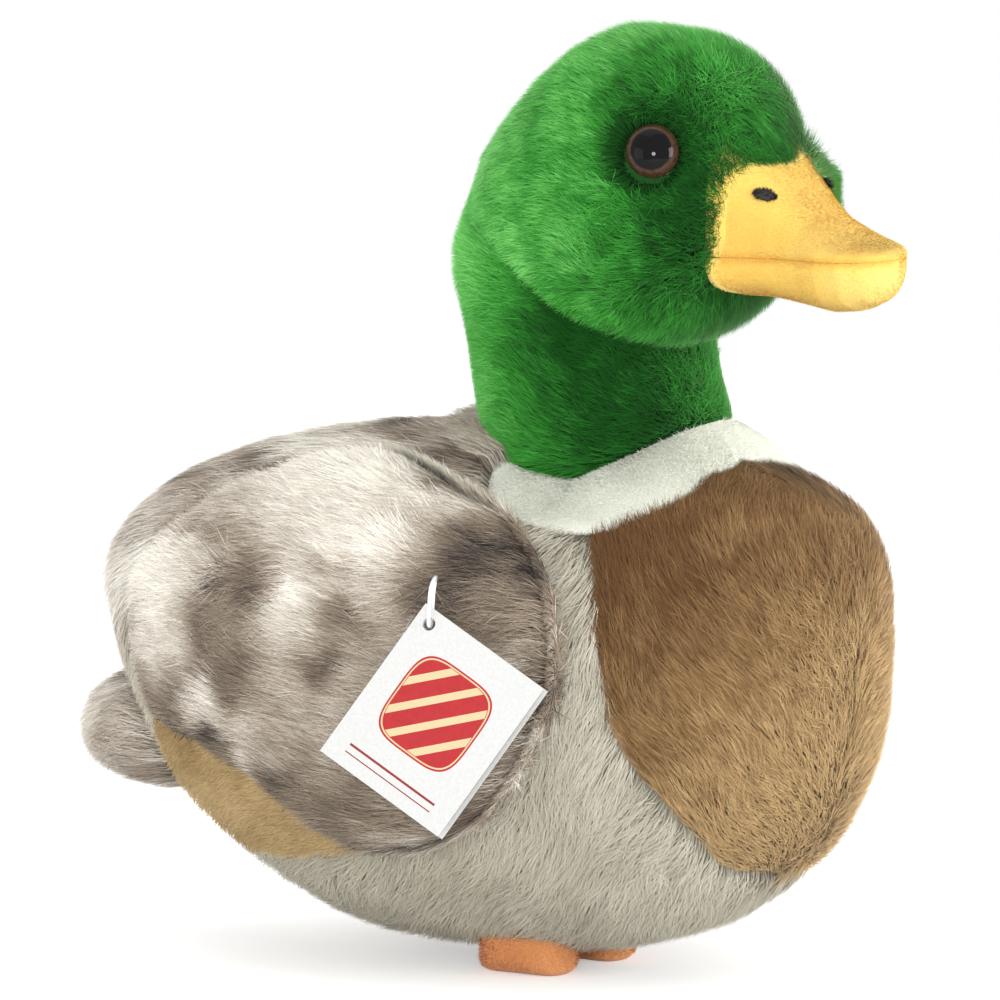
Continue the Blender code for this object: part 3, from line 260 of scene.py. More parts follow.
# %% Shader words
class Wire:
    def __init__(self, paint, socket):
        self.paint, self.socket = paint, socket

    def math(self, operation, first, second=0.0):
        return self.paint.node("Math", {"operation": operation}, {0: first, 1: second})

    def __add__(self, other): return self.math("ADD", self, other)
    def __sub__(self, other): return self.math("SUBTRACT", self, other)
    def __rsub__(self, other): return self.math("SUBTRACT", other, self)
    def __mul__(self, other): return self.math("MULTIPLY", self, other)
    def __truediv__(self, other): return self.math("DIVIDE", self, other)
    def __pow__(self, other): return self.math("POWER", self, other)
    def __gt__(self, other): return self.math("GREATER_THAN", self, other)
    def __lt__(self, other): return self.math("LESS_THAN", self, other)
    __radd__, __rmul__ = __add__, __mul__

    def clipped(self):
        return self.paint.node("Clamp", {}, {"Value": self})

    def fraction(self):
        return self.math("FRACT", self)

    def at_least(self, other):
        return self.math("MAXIMUM", self, other)


class Paint:
    """A material whose Principled shader is at hand."""

    def __init__(self, name, **constants):
        self.material = bpy.data.materials.new(name)
        self.material.use_nodes = True
        self.tree = self.material.node_tree
        self.shader = self.tree.nodes["Principled BSDF"]
        for socket, value in constants.items():
            self.shader.inputs[socket.replace("_", " ")].default_value = value

    def node(self, kind, settings, sockets, out=0):
        made = self.tree.nodes.new("ShaderNode" + kind)
        for name, value in settings.items():
            setattr(made, name, value)
        for key, value in sockets.items():
            self.link(value, made.inputs[key])
        return Wire(self, made.outputs[out])

    def link(self, value, socket):
        if isinstance(value, Wire):
            self.tree.links.new(value.socket, socket)
        else:
            socket.default_value = value

    def attribute(self, name):
        return self.node("Attribute", {"attribute_name": name}, {}, 2)

    def place(self):
        return self.node("TexCoord", {}, {}, 3)

    def from_point(self, point):
        """The arm from a point to the place that is shaded."""
        return self.node("VectorMath", {"operation": "SUBTRACT"}, {0: self.place(), 1: tuple(point)})

    def dot(self, vector, direction):
        return self.node("VectorMath", {"operation": "DOT_PRODUCT"}, {0: vector, 1: tuple(direction)}, 1)

    def noise(self, scale, detail=2.0):
        return self.node("TexNoise", {}, {"Vector": self.place(), "Scale": scale, "Detail": detail})

    def mix(self, share, first, second, way="MIX"):
        sockets = {0: share, 6: first, 7: second}
        return self.node("Mix", {"data_type": "RGBA", "blend_type": way}, sockets, 2)

    def shaded(self, colour, gain):
        """A colour times a gain."""
        grey = self.node("CombineColor", {}, {"Red": gain, "Green": gain, "Blue": gain})
        return self.mix(1.0, colour, grey, "MULTIPLY")

    def shades(self, share, *stops):
        """A colour ramp; each stop is a place and a linear colour."""
        made = self.tree.nodes.new("ShaderNodeValToRGB")
        while len(made.color_ramp.elements) < len(stops):
            made.color_ramp.elements.new(0.5)
        for element, (place, colour) in zip(made.color_ramp.elements, stops):
            element.position = place
            element.color = (*colour, 1.0)
        self.link(share, made.inputs[0])
        return Wire(self, made.outputs[0])

    def feed(self, **sockets):
        for name, value in sockets.items():
            self.link(value, self.shader.inputs[name.replace("_", " ")])
        return self.material

    def bumped(self, height, distance, strength=1.0):
        return self.node("Bump", {}, {"Height": height, "Distance": distance, "Strength": strength})


def linear(red, green, blue):
    """A colour as it is read off a screen, from 0 to 255, made linear."""
    share = np.array([red, green, blue]) / 255
    value = np.where(share < 0.04045, share / 12.92, ((share + 0.055) / 1.055) ** 2.4)
    return tuple(float(v) for v in value)


# %% [markdown]
# ### Pile paint
# Strands shade each other at the root and catch the light at the tip, so each pile colour runs
# from a deep root to a pale tip. Three numbers ride on the strands: how far along the point is,
# a random number a strand, and a tone that the piece sets, such as the mottling of a wing or the
# painted light and shade of the head, the neck and the breast.

# %% Pile paint
PLAIN_SHEEN, LEAF_SHEEN = (0.12, (1.0, 1.0, 1.0)), (0.7, (0.5, 1.0, 0.42))


def pile_paint(name, deep, mid, pale, root=0.6, tip=1.12, sheen=PLAIN_SHEEN, fleck=0.36):
    """The tone runs from deep by mid to pale, and each strand from the root's gain to the tip's."""
    paint = Paint(
        name, Specular_IOR_Level=0.2,
        Sheen_Weight=sheen[0], Sheen_Tint=(*sheen[1], 1.0), Sheen_Roughness=0.4,
    )
    along, chance, tone = paint.attribute("along"), paint.attribute("chance"), paint.attribute("tone")
    tone = (tone + (paint.noise(55.0, 3.0) - 0.5) * 0.25 + (chance - 0.5) * fleck).clipped()
    colour = paint.shades(tone, (0.0, deep), (0.5, mid), (1.0, pale))
    gain = (root + along * (tip - root)) * (1 - 0.4 * fleck + chance * (0.8 * fleck))
    return paint.feed(Base_Color=paint.shaded(colour, gain), Roughness=0.75 + chance * 0.2)


def cloth_paint(name, *screen_colour):
    """A knitted backing: fine ribs both ways, and a slow drift of shade."""
    paint = Paint(name, Roughness=0.95, Sheen_Weight=0.2)
    sockets = {"Vector": paint.place(), "Scale": 900.0, "Distortion": 1.5}
    ribs, rows = (paint.node("TexWave", {"bands_direction": way}, sockets, 1) for way in "XZ")
    knit = ribs * rows
    shade = (0.72 + knit * 0.2 + paint.noise(60.0) * 0.3).clipped()
    colour = paint.shaded((*linear(*screen_colour), 1.0), shade)
    return paint.feed(Base_Color=colour, Normal=paint.bumped(knit, 0.0002, 0.6))


def screen_pile(name, deep, mid, pale, *gains, **more):
    return pile_paint(name, linear(*deep), linear(*mid), linear(*pale), *gains, **more)


GREEN = screen_pile("green_pile", (2, 64, 4), (54, 146, 48), (122, 206, 106), 0.42, 1.28, LEAF_SHEEN)
BROWN = screen_pile("brown_pile", (100, 70, 42), (146, 115, 76), (192, 162, 116), 0.55, 1.2)
GREY = screen_pile("grey_pile", (160, 153, 135), (200, 194, 176), (222, 217, 202), 0.7, 1.08, fleck=0.24)
MOTTLED = screen_pile("mottled_pile", (52, 46, 45), (160, 144, 125), (248, 244, 234), 0.62, 1.14)
TAN = screen_pile("tan_pile", (128, 102, 64), (172, 145, 100), (204, 178, 132))
WHITE = screen_pile("white_velour", (228, 230, 217), (240, 242, 230), (248, 249, 241), 0.9, 1.04, fleck=0.12)
YELLOW = screen_pile("yellow_velour", (240, 186, 84), (252, 220, 116), (254, 236, 156), 0.9, 1.03, fleck=0.12)
ORANGE = screen_pile("orange_velour", (222, 148, 90), (240, 172, 112), (248, 194, 138), 0.9, 1.04, fleck=0.12)
BLACK = pile_paint("black_fibre", (0.004,) * 3, (0.009,) * 3, (0.03,) * 3)
GREEN_CLOTH = cloth_paint("green_cloth", 22, 96, 24)
BROWN_CLOTH = cloth_paint("brown_cloth", 116, 88, 58)
GREY_CLOTH = cloth_paint("grey_cloth", 178, 171, 153)
MOTTLED_CLOTH = cloth_paint("mottled_cloth", 150, 140, 128)
TAN_CLOTH = cloth_paint("tan_cloth", 158, 132, 92)
WHITE_CLOTH = cloth_paint("white_cloth", 242, 243, 232)
YELLOW_CLOTH = cloth_paint("yellow_cloth", 250, 212, 104)
ORANGE_CLOTH = cloth_paint("orange_cloth", 226, 154, 98)
print("paints", len(bpy.data.materials))

# %% [markdown]
# ## Strands
# A strand is a flat blade: two steps and a tip in the long pile, a single triangle in short
# velour. Its middle line starts straight out of the skin and bends over into the comb's
# direction: with s from root to tip, place = root + normal * height * (2 s - s squared) + comb *
# reach * s squared. Its width falls from the root to nothing at the tip. The shading normal lies
# between the blade's own and the skin's, as on a soft pile.

# %% Strand maker
WIDTH_SHARES = {1: (1.0, 0.0), 2: (1.0, 0.8, 0.0)}
BLADE_TWIST, SKIN_SHADING = 0.5, 0.6
# Strands a piece at full density, and how wide they are.
COUNTS = {
    "breast": 34000, "back": 52000, "belly": 55000, "wing": 59000, "rim": 15000, "hem": 13000,
    "neck": 46000, "head": 58000, "upper_bill": 52000, "lower_bill": 31000, "nostril": 700,
    "collar": 84000, "ruff": 9000, "tail": 24000, "foot": 7000,
}
PLUSH_WIDTH, WING_WIDTH, HEAD_WIDTH = 0.0003, 0.00032, 0.00028
BILL_WIDTH, COLLAR_WIDTH, FOOT_WIDTH, STITCH_WIDTH = 0.00017, 0.00018, 0.00024, 0.00016


def blades(roots, normals, combs, height, reach, width, share, chance):
    """Middle lines, half widths to the side and shading normals of blades, at shares of their length."""
    count = len(roots)
    height, reach, width = (np.broadcast_to(value, count)[:, None, None] for value in (height, reach, width))
    rise, run = (2 * share - share**2)[:, None], (share**2)[:, None]
    centre = roots[:, None] + normals[:, None] * height * rise + combs[:, None] * reach * run
    slope = normals[:, None] * height * (2 - 2 * share[:, None]) + combs[:, None] * reach * 2 * share[:, None]
    twist = chance.uniform(-BLADE_TWIST, BLADE_TWIST, count)[:, None]
    side = unit(np.cos(twist) * np.cross(combs, normals) + np.sin(twist) * normals)[:, None]
    half = np.array(WIDTH_SHARES[len(share) - 1])[:, None] * width / math.sqrt(DENSITY) / 2
    shading = unit(SKIN_SHADING * normals[:, None] + (1 - SKIN_SHADING) * unit(np.cross(side, unit(slope + 1e-9))))
    return centre, side * half, shading


def strands(name, roots, normals, combs, height, reach, width, tone, look, seed, steps=2):
    """One mesh of tapering blades, one for each root."""
    count, size = len(roots), 2 * steps + 1
    chance = np.random.default_rng(seed)
    share = np.linspace(0, 1, steps + 1)
    centre, half, shading = blades(roots, normals, combs, height, reach, width, share, chance)
    pairs = np.stack([(centre - half)[:, :-1], (centre + half)[:, :-1]], axis=2).reshape(count, 2 * steps, 3)
    points = np.concatenate([pairs, centre[:, -1:]], axis=1).reshape(-1, 3)
    shading = np.concatenate([np.repeat(shading[:, :-1], 2, axis=1), shading[:, -1:]], axis=1).reshape(-1, 3)
    first = np.arange(count)[:, None] * size
    quads = [first + np.array([2 * k, 2 * k + 1, 2 * k + 3, 2 * k + 2]) for k in range(steps - 1)]
    tips = first + np.array([size - 3, size - 2, size - 1])
    faces = [np.stack(quads, axis=1).reshape(-1, 4), tips] if quads else [tips]
    mesh = put_mesh(name, (points, faces), look).data
    along = np.append(np.repeat(share[:-1], 2), 1.0)
    chances, tones = np.repeat(chance.random(count), size), np.repeat(tone, size)
    for label, value in {"along": np.tile(along, count), "chance": chances, "tone": tones}.items():
        mesh.attributes.new(label, "FLOAT", "POINT").data.foreach_set("value", value.astype(np.float32))
    chart_blades(mesh, along, count, steps)
    mesh.normals_split_custom_set_from_vertices(shading.tolist())
    print(name, count, "strands")


def chart_blades(mesh, along, count, steps):
    """A cell of the unit square for each blade, so that its paint can be baked."""
    cells = math.ceil(math.sqrt(count))
    row, column = np.divmod(np.arange(count)[:, None], cells)
    across = np.append(np.tile([0.15, 0.85], steps), 0.5)
    flat = np.stack([(column + across) / cells, (row + 0.1 + 0.8 * along) / cells], -1).reshape(-1, 2)
    corners = np.empty(len(mesh.loops), np.int32)
    mesh.loops.foreach_get("vertex_index", corners)
    chart = mesh.uv_layers.new(name="OFBake")
    chart.data.foreach_set("uv", flat[corners].astype(np.float32).ravel())


# %% [markdown]
# Strands are sown evenly by area over a grid of points. A comb is laid on the skin and disturbed
# twice: slow noise parts the pile into clumps, and chance spreads each strand.

# %% Sowing and combing
def scatter(points, count, chance, mask=1.0):
    """Places of count strands, as grid coordinates, spread evenly by area over the masked cells."""
    falling, rising = points[1:, 1:] - points[:-1, :-1], points[1:, :-1] - points[:-1, 1:]
    area = np.linalg.norm(np.cross(falling, rising), axis=-1) * mask
    total = np.cumsum(area.ravel())
    count = int(count * DENSITY)
    cell = np.searchsorted(total, (np.arange(count) + chance.random(count)) / count * total[-1])
    row, column = np.divmod(np.minimum(cell, area.size - 1), area.shape[1])
    return row + chance.random(count), column + chance.random(count)


def read_grid(values, row, column):
    """Values of a grid between its points."""
    i, j = row.astype(int), column.astype(int)
    a, b = (row - i)[..., None], (column - j)[..., None]
    top = values[i, j] * (1 - b) + values[i, j + 1] * b
    return top * (1 - a) + (values[i + 1, j] * (1 - b) + values[i + 1, j + 1] * b) * a


def sown(surface, grid, count, chance, mask=1.0):
    """Directions of strands spread over a surface that is given on a grid of directions."""
    return unit(read_grid(grid, *scatter(surface(grid), count, chance, mask)))


def combed(normals, comb, points, chance, spread=0.22, parting=0.5):
    """The comb's direction laid on the skin, parted into clumps and spread strand by strand."""
    comb = np.broadcast_to(comb, normals.shape).astype(float).copy()
    for size, weight, seed in ((0.006, 0.6, 11), (0.016, 1.0, 29)):
        for axis in range(3):
            comb[:, axis] += parting * weight * noise(points, size, seed + axis)
    comb += chance.normal(0, spread, comb.shape)
    comb -= np.einsum("ij,ij->i", comb, normals)[:, None] * normals
    return unit(comb)


def clumped(points, seed=5):
    """A slow and a fine noise together, for the pile's height and tone."""
    return 0.6 * noise(points, 0.014, seed) + 0.4 * noise(points, 0.005, seed + 1)


def hanging(normals, comb, weight):
    """A comb that also falls on a skin that faces the rear."""
    return np.array(comb) - UP * weight * np.clip(normals[:, 1:2], 0, 1)


# %% [markdown]
# ## The body's four panels
# The body's cover is sewn from a right and a left breast, a back and a belly. One grid of
# directions serves all four: its rows run from the neck down and its columns bend to follow the
# seams, so each panel is a block of cells. Angles are measured at the body's centre, from the line
# to the foot of the neck, and turns run from the front towards the right side.

# %% Body grid
BODY_POLE = unit(NECK_ROOT - BODY.centre)
BODY_AHEAD = unit(np.cross(BODY_POLE, RIGHT))
# Each pair is a turn and a tilt.
HOLE_DEG = (
    (0, 16.5), (32, 18.5), (52, 21.8), (69, 25.2), (81, 26.8), (95, 27.7), (120, 28.7), (144, 29.6), (180, 30.2),
)
COLLAR_EDGE_DEG = (
    (0.0, 15.4), (30.0, 18.8), (48.0, 28.2), (57.0, 34.4), (60.0, 36.4), (68.0, 39.8), (79.0, 42.0),
    (88.0, 41.4), (94.0, 40.5), (100.0, 38.0), (108.0, 34.0), (120.0, 31.0), (180.0, 31.0),
)
# Each pair is a tilt and a turn.
BREAST_SEAM_DEG = (
    (0.0, 66.0), (30.0, 64.0), (39.0, 60.5), (48.0, 51.5), (56.0, 44.5), (62.0, 38.0), (67.0, 31.5),
    (70.0, 25.5), (72.5, 17.5), (75.0, 11.0), (180.0, 11.0),
)
BACK_SEAM_DEG = (
    (0.0, 98.0), (30.0, 100.0), (48.0, 104.0), (63.0, 116.0), (90.0, 124.0), (115.0, 130.0), (135.0, 140.0),
    (158.0, 150.0), (180.0, 150.0),
)
ROWS, COLUMNS = (26, 30, 8), (20, 24, 20)
MIDDLE_START, BREAST_BOTTOM, BACK_BOTTOM = (math.radians(v) for v in (27.4, 75.0, 158.0))


def body_direction(tilt, turn):
    around = np.cos(turn)[..., None] * BODY_AHEAD + np.sin(turn)[..., None] * RIGHT
    return np.cos(tilt)[..., None] * BODY_POLE + np.sin(tilt)[..., None] * around


def table(values, places):
    """Straight-line reading of a table of pairs."""
    known, read = np.array(values, float).T
    return np.interp(places, known, read)


def angle_table(values, angles):
    return np.radians(table(values, np.degrees(angles)))


def body_angles():
    upper, middle, lower = ROWS
    share = np.linspace(0, 1, upper + 1)
    below_breast = np.linspace(BREAST_BOTTOM, BACK_BOTTOM, middle + 1)[1:]
    below_back = np.linspace(BACK_BOTTOM, math.pi, lower + 1)[1:-1]
    from_neck = MIDDLE_START + share * (BREAST_BOTTOM - MIDDLE_START)
    tilts = np.concatenate([from_neck, below_breast, below_back])[:, None]
    front, back = angle_table(BREAST_SEAM_DEG, tilts), angle_table(BACK_SEAM_DEG, tilts)
    breast, side, rear = (np.linspace(0, 1, count + 1) for count in COLUMNS)
    blocks = [front * breast[:-1], front + (back - front) * side[:-1], back + (math.pi - back) * rear]
    half = np.concatenate(blocks, axis=1)
    turn = np.concatenate([half, 2 * math.pi - half[:, -2::-1]], axis=1)
    tilt = np.repeat(tilts, turn.shape[1], axis=1)
    hole = angle_table(HOLE_DEG, np.abs((turn + math.pi) % (2 * math.pi) - math.pi))[: upper + 1]
    tilt[: upper + 1] = hole + share[:, None] * (BREAST_BOTTOM - hole)
    return tilt, turn


BODY_TILT, BODY_TURN = body_angles()
BODY_DIRS = body_direction(BODY_TILT, BODY_TURN)
grid_rows, wrap = BODY_TILT.shape[0], BODY_TILT.shape[1] - 1
cell_row, cell_column = np.meshgrid(np.arange(grid_rows - 1), np.arange(wrap), indexing="ij")
from_front = np.minimum(cell_column, wrap - 1 - cell_column)
in_breast = (cell_row < ROWS[0]) & (from_front < COLUMNS[0])
in_back = (cell_row < ROWS[0] + ROWS[1]) & (from_front >= COLUMNS[0] + COLUMNS[1])
in_belly, on_right = ~in_breast & ~in_back, cell_column < sum(COLUMNS)
print("body grid", BODY_TILT.shape)

# %% Panel backings
PILE_ROOT, BACKING_THICK = 0.0042, 0.0008
PANELS = {
    "breast_right": in_breast & on_right, "breast_left": in_breast & ~on_right,
    "back": in_back, "belly": in_belly,
}
# The slot, the cloth, the pile and the pile's reach of each panel.
FABRICS = {
    "breast": ("breast", BROWN_CLOTH, BROWN, 0.0068),
    "back": ("mottled", MOTTLED_CLOTH, MOTTLED, 0.0115),
    "belly": ("belly", GREY_CLOTH, GREY, 0.0075),
}
body_quads = grid_quads(grid_rows, wrap)
cap = fan((grid_rows - 1) * wrap, wrap, grid_rows * wrap)
sheet_dirs = np.concatenate([BODY_DIRS[:, :-1].reshape(-1, 3), -BODY_POLE[None]])
for panel, keep in PANELS.items():
    slot, cloth = FABRICS[panel.split("_")[0]][:2]
    sheets = [BODY.at(sheet_dirs, -depth) for depth in (PILE_ROOT, PILE_ROOT + BACKING_THICK)]
    sheet = shell(*sheets, body_quads[keep.ravel()], cap if panel == "belly" else None)
    put_pad(f"{panel}_backing", sheet, ("duck", slot, cloth), panel)
    print(panel, len(sheet[0]))

# %% [markdown]
# The pile of each panel is combed its own way: the breast to the rear and up from its middle line,
# the belly down and to the rear, the back and the wings straight to the rear. Under a wing the
# pile is thin and pressed flat, and none grows under the collar or below the soles.

# %% Wing outline
# Each pair is a bearing round the body's side axis, from the rear over the top, and an angle from it.
WING_COVER_EDGE_DEG = (
    (0.0, 46.0), (14.0, 46.0), (30.0, 44.0), (50.0, 42.0), (70.0, 42.0), (90.0, 43.0), (118.0, 41.0),
    (137.0, 42.0), (147.0, 45.0), (160.0, 46.5), (190.0, 47.0), (210.0, 46.0), (246.0, 46.5), (264.0, 45.5),
    (279.0, 39.7), (291.0, 37.5), (300.0, 36.0), (320.0, 40.5), (332.0, 48.0), (345.0, 48.0), (360.0, 46.0),
)
WING_HEM_DEG = (
    (0.0, -1.5), (262.0, -1.5), (277.0, 9.0), (287.0, 14.5), (300.0, 22.5), (310.0, 21.0), (322.0, 18.5),
    (330.0, 10.0), (342.0, -1.0), (360.0, -1.5),
)


def wing_shares(directions):
    """How far out on the wing a direction is, as a share of the cover's edge and of the hem's."""
    side = np.abs(directions[..., 0])
    bearing = np.degrees(np.arctan2(directions[..., 2], directions[..., 1])) % 360
    out = np.degrees(np.arccos(np.clip(side, -1, 1)))
    edge = table(WING_COVER_EDGE_DEG, bearing)
    return out / edge, out / (edge + table(WING_HEM_DEG, bearing))


# %% [markdown]
# ### Mottling
# The back, the wings and the tail are one fabric, printed in soft blots of white, grey and brown.
# A blot is a place on a flat plan of the duck's side, half sizes along and up, and a tone; the far
# side uses the same plan. Streaks that follow the comb and noise break the blots up.

# %% Mottling
PLAN_ORIGIN = np.array([0.0, -0.0208, 0.0])
PLAN_ALONG, PLAN_UP = np.array([0.545, -0.839, 0.0]), np.array([0.124, 0.0805, 0.989])
PLAIN_TONE = 0.62
BLOTS = (
    (-50, 115, 20, 10, 0.97), (-43, 99, 14, 6, 0.95), (-95, 97, 12, 7.5, 0.97), (-58, 87, 5, 10, 0.93),
    (-93, 79, 9, 7, 0.82), (-52, 128, 14, 2.5, 0.9), (-96, 108, 8.5, 3, 0.76), (-103, 75, 7, 3.5, 0.72),
    (-76, 104, 7, 3, 0.42), (-79, 81, 6, 7.5, 0.33), (-108, 94, 2.6, 7, 0.5),
    (-78, 92, 3.5, 3.5, 0.06), (-35, 128, 6.5, 3.4, 0.04), (-25, 118, 5, 2.7, 0.12), (-67, 119, 5.5, 2, 0.1),
    (-85, 117, 4.2, 1.8, 0.2), (-72, 125, 8, 2.2, 0.5), (-77, 68.5, 6.8, 2.6, 0.14),
    (-74.5, 64, 2.2, 5.5, 0.24), (-80, 62, 3.2, 5.6, 0.98), (-49, 94, 7.5, 2.6, 0.55), (-45, 83, 8, 5, 0.12),
    (-49, 72, 5, 4, 0.2), (-14, 95, 12, 10, 0.08), (-24, 106, 4.5, 3.4, 0.5), (-23, 90, 6, 4, 0.24),
    (-5, 97, 3.2, 7.5, 0.02), (-14, 82, 12, 4.6, 0.3), (-4, 67, 2.8, 10, 0.2), (-59, 50, 10, 12, 0.5),
    (-47, 38.5, 14, 4.6, 0.33), (-26, 42, 10, 5.6, 0.42), (-104, 59, 8.5, 11, 0.45), (-107, 57.5, 2.6, 2.6, 0.28),
    (-72, 72, 5, 7, 0.3), (-79, 51, 6, 5, 0.1), (-65, 42, 9, 5, 0.16), (-91, 88, 6, 6, 0.92), (-30, 109, 8, 5, 0.8),
    (-69, 90, 5.5, 10, 0.22), (-89, 60, 7.5, 5, 0.12), (-21, 89, 7, 5, 0.12),
)


def plan_of(points):
    """Places along and up the plan of the side, with the left side folded over the right."""
    folded = points * 1.0
    folded[:, 0] = -np.abs(folded[:, 0])
    return np.stack([(folded - PLAN_ORIGIN) @ PLAN_ALONG, (folded - PLAN_ORIGIN) @ PLAN_UP], -1)


def mottle(points):
    """Tone from the blots' plan: each blot pulls the tone to its own, as exp(-distance ** 3)."""
    rough = np.stack([noise(points, 0.009, 71), noise(points, 0.006, 83)], -1) * 0.003
    plan = (plan_of(points) + rough) / MM
    tone = PLAIN_TONE + 0.2 * noise(points, 0.02, 91)
    for along, up, wide, high, shade in BLOTS:
        away = np.hypot((plan[:, 0] - along) / wide, (plan[:, 1] - up) / high)
        tone = tone + (shade - tone) * np.exp(-(away**3)) * 0.95
    wide_streaks, fine_streaks = noise(points, (0.0035, 0.016, 0.0035), 97), noise(points, (0.0018, 0.01, 0.0018), 101)
    return tone + (0.17 * wide_streaks + 0.15 * fine_streaks) * (1.15 - 0.75 * np.clip(tone, 0, 1))


# %% Body pile
PILES = {name: PANELS[name] for name in ("breast_right", "breast_left", "back")}
PILES.update(belly_right=in_belly & on_right, belly_left=in_belly & ~on_right)
PILE_HEIGHT, PILE_LUMPS, PILE_SPREAD, SOLE_CLEAR = 0.0044, 0.0010, 0.0008, 0.0052


def body_comb(fabric, points, normals):
    """The direction that the pile lies in, before it is laid on the skin."""
    if fabric == "breast":
        sideways = unit(np.cross(normals, BODY_POLE)) * np.clip(-points[:, :1] / 0.014, -1, 1)
        return 0.85 * sideways + 0.55 * UP
    if fabric == "back":
        return hanging(normals, [0, 1.0, 0.1], 1.2)
    front = fade(-points[:, 1:2], 0.02, 0.06)
    return np.array([0, 0.75, -1.0]) * (1 - front) + np.array([0, 0.35, -1.0]) * front


def body_tone(fabric, roots, lumps):
    if fabric == "back":
        return mottle(roots)
    if fabric == "belly":
        return 0.5 + 0.24 * lumps + 0.14 * noise(roots, (0.0016, 0.0016, 0.007), 41)
    # On the breast the tone carries painted light and shade: darker high up, lighter low down and towards the front.
    low, ahead = (0.072 - roots[:, 2]) / 0.03, ((roots - PLAN_ORIGIN) @ PLAN_ALONG - 0.034) / 0.045
    tone = 0.46 + 0.18 * lumps + 0.24 * noise(roots, 0.0018, 43) + 0.4 * np.clip(low, -1, 1)
    return tone + 0.5 * np.clip(ahead, -0.5, 1)


for order, (panel, keep) in enumerate(PILES.items()):
    chance = np.random.default_rng(100 + order)
    fabric = panel.split("_")[0]
    slot, _, paint, long = FABRICS[fabric]
    row, column = scatter(BODY.at(BODY_DIRS), COUNTS[fabric], chance, keep)
    directions = unit(read_grid(BODY_DIRS, row, column))
    under = fade(-wing_shares(directions)[1], -1.02, 0.06)
    tilt, turn = (np.degrees(read_grid(grid[..., None], row, column)[:, 0]) for grid in (BODY_TILT, BODY_TURN))
    grows = chance.random(len(row)) < np.where(under > 0.9, 0.22, 1.0)
    grows &= tilt > table(COLLAR_EDGE_DEG, np.minimum(turn, 360 - turn)) - 1.0
    grows &= BODY.at(directions)[:, 2] > SOLE_CLEAR
    directions, under = directions[grows], under[grows]
    roots, normals = rooted(BODY.at, directions, -PILE_ROOT)
    lumps = clumped(roots)
    combs = combed(normals, body_comb(fabric, roots, normals), roots, chance)
    ragged = chance.uniform(-PILE_SPREAD, PILE_SPREAD, len(roots))
    tall = (PILE_HEIGHT + PILE_LUMPS * lumps + ragged) * (1 - 0.75 * under)
    ground = np.clip((roots[:, 2] - 0.002) / 0.008, 0.15, 1)
    reach = long * (0.85 + 0.3 * chance.random(len(roots))) * (1 - 0.3 * under)
    tone = body_tone(fabric, roots, lumps)
    look = ("duck", slot, paint)
    strands(f"{panel}_pile", roots, normals, combs, tall * ground, reach, PLUSH_WIDTH, tone, look, 200 + order)

# %% [markdown]
# ## Wings
# A wing is a padded lens: a mottled cover over wadding, on a tan lining whose hem shows low at the
# rear. Its heights over the body are those of the solids. The cover's top swells in a quarter
# ellipse: height = edge + (crown - edge) * sqrt(1 - share ** 3).

# %% Wing shapes
WING_LOW, WING_LINING, WING_WADDING, WING_COVER, WING_EDGE, SEAM = 0.0013, 0.002, 0.0032, 0.004, 0.0018, 0.0004
LINING_TOP = WING_LOW + WING_LINING
WADDING_LOW = LINING_TOP + SEAM
COVER_TOP = WADDING_LOW + WING_WADDING + SEAM + WING_COVER
WING_RING, HEM_RING, HEM_START, WING_SPOKE, WING_ROOT = 30, 23, 15, 96, 0.0030


def swell(share, edge, crown):
    return edge + (crown - edge) * np.sqrt(np.clip(1 - share**3, 0, 1))


def wing_directions(shares):
    """A grid of directions over the right wing: rings by share of the edge, spokes by bearing."""
    bearing = np.linspace(0, 2 * math.pi, WING_SPOKE + 1)
    edge, extra = (table(angles, np.degrees(bearing)) for angles in (WING_COVER_EDGE_DEG, WING_HEM_DEG))
    tilt = np.minimum(shares[:, None], 1) * edge + np.clip(shares[:, None] - 1, 0, 1) * extra
    tilt = np.radians(tilt)[..., None]
    around = np.cos(bearing)[:, None] * REARWARD + np.sin(bearing)[:, None] * UP
    return np.cos(tilt) * RIGHT + np.sin(tilt) * around


def cover_at(directions, grow=0.0):
    """The cover's outside along directions from the body's centre."""
    share = np.clip(wing_shares(directions)[0], 0, 1)
    return BODY.at(directions) + directions * (swell(share, WADDING_LOW + WING_EDGE, COVER_TOP) + grow)[..., None]


def cover_root_at(directions):
    """Where the cover's pile is rooted: below its outside, and less so at the edge."""
    return cover_at(directions, -WING_ROOT * swell(np.clip(wing_shares(directions)[0], 0, 1), 0.35, 1.0))


def lens(top, low, directions):
    """Closed pad between two surfaces over the same directions, whose first ring is one place."""
    wrap = directions.shape[1] - 1
    flat = np.concatenate([directions[1:, :-1].reshape(-1, 3), directions[0, :1]])
    middle = fan(0, wrap, len(flat) - 1)[:, [1, 0, 2]]
    return shell(top(flat), low(flat), grid_quads(len(directions) - 1, wrap), middle)


cover_dirs = wing_directions(np.linspace(0, 1, WING_RING))
lining_dirs = wing_directions(np.concatenate([np.linspace(0, 1, 16), np.linspace(1, 2, 9)[1:]]))
cover_pad = lens(cover_root_at, lambda d: BODY.at(d, WADDING_LOW), cover_dirs)
lining_pad = lens(lambda d: BODY.at(d, LINING_TOP - 0.0004), lambda d: BODY.at(d, WING_LOW), lining_dirs)
print("wing", len(cover_pad[0]), "points, lining", len(lining_pad[0]))

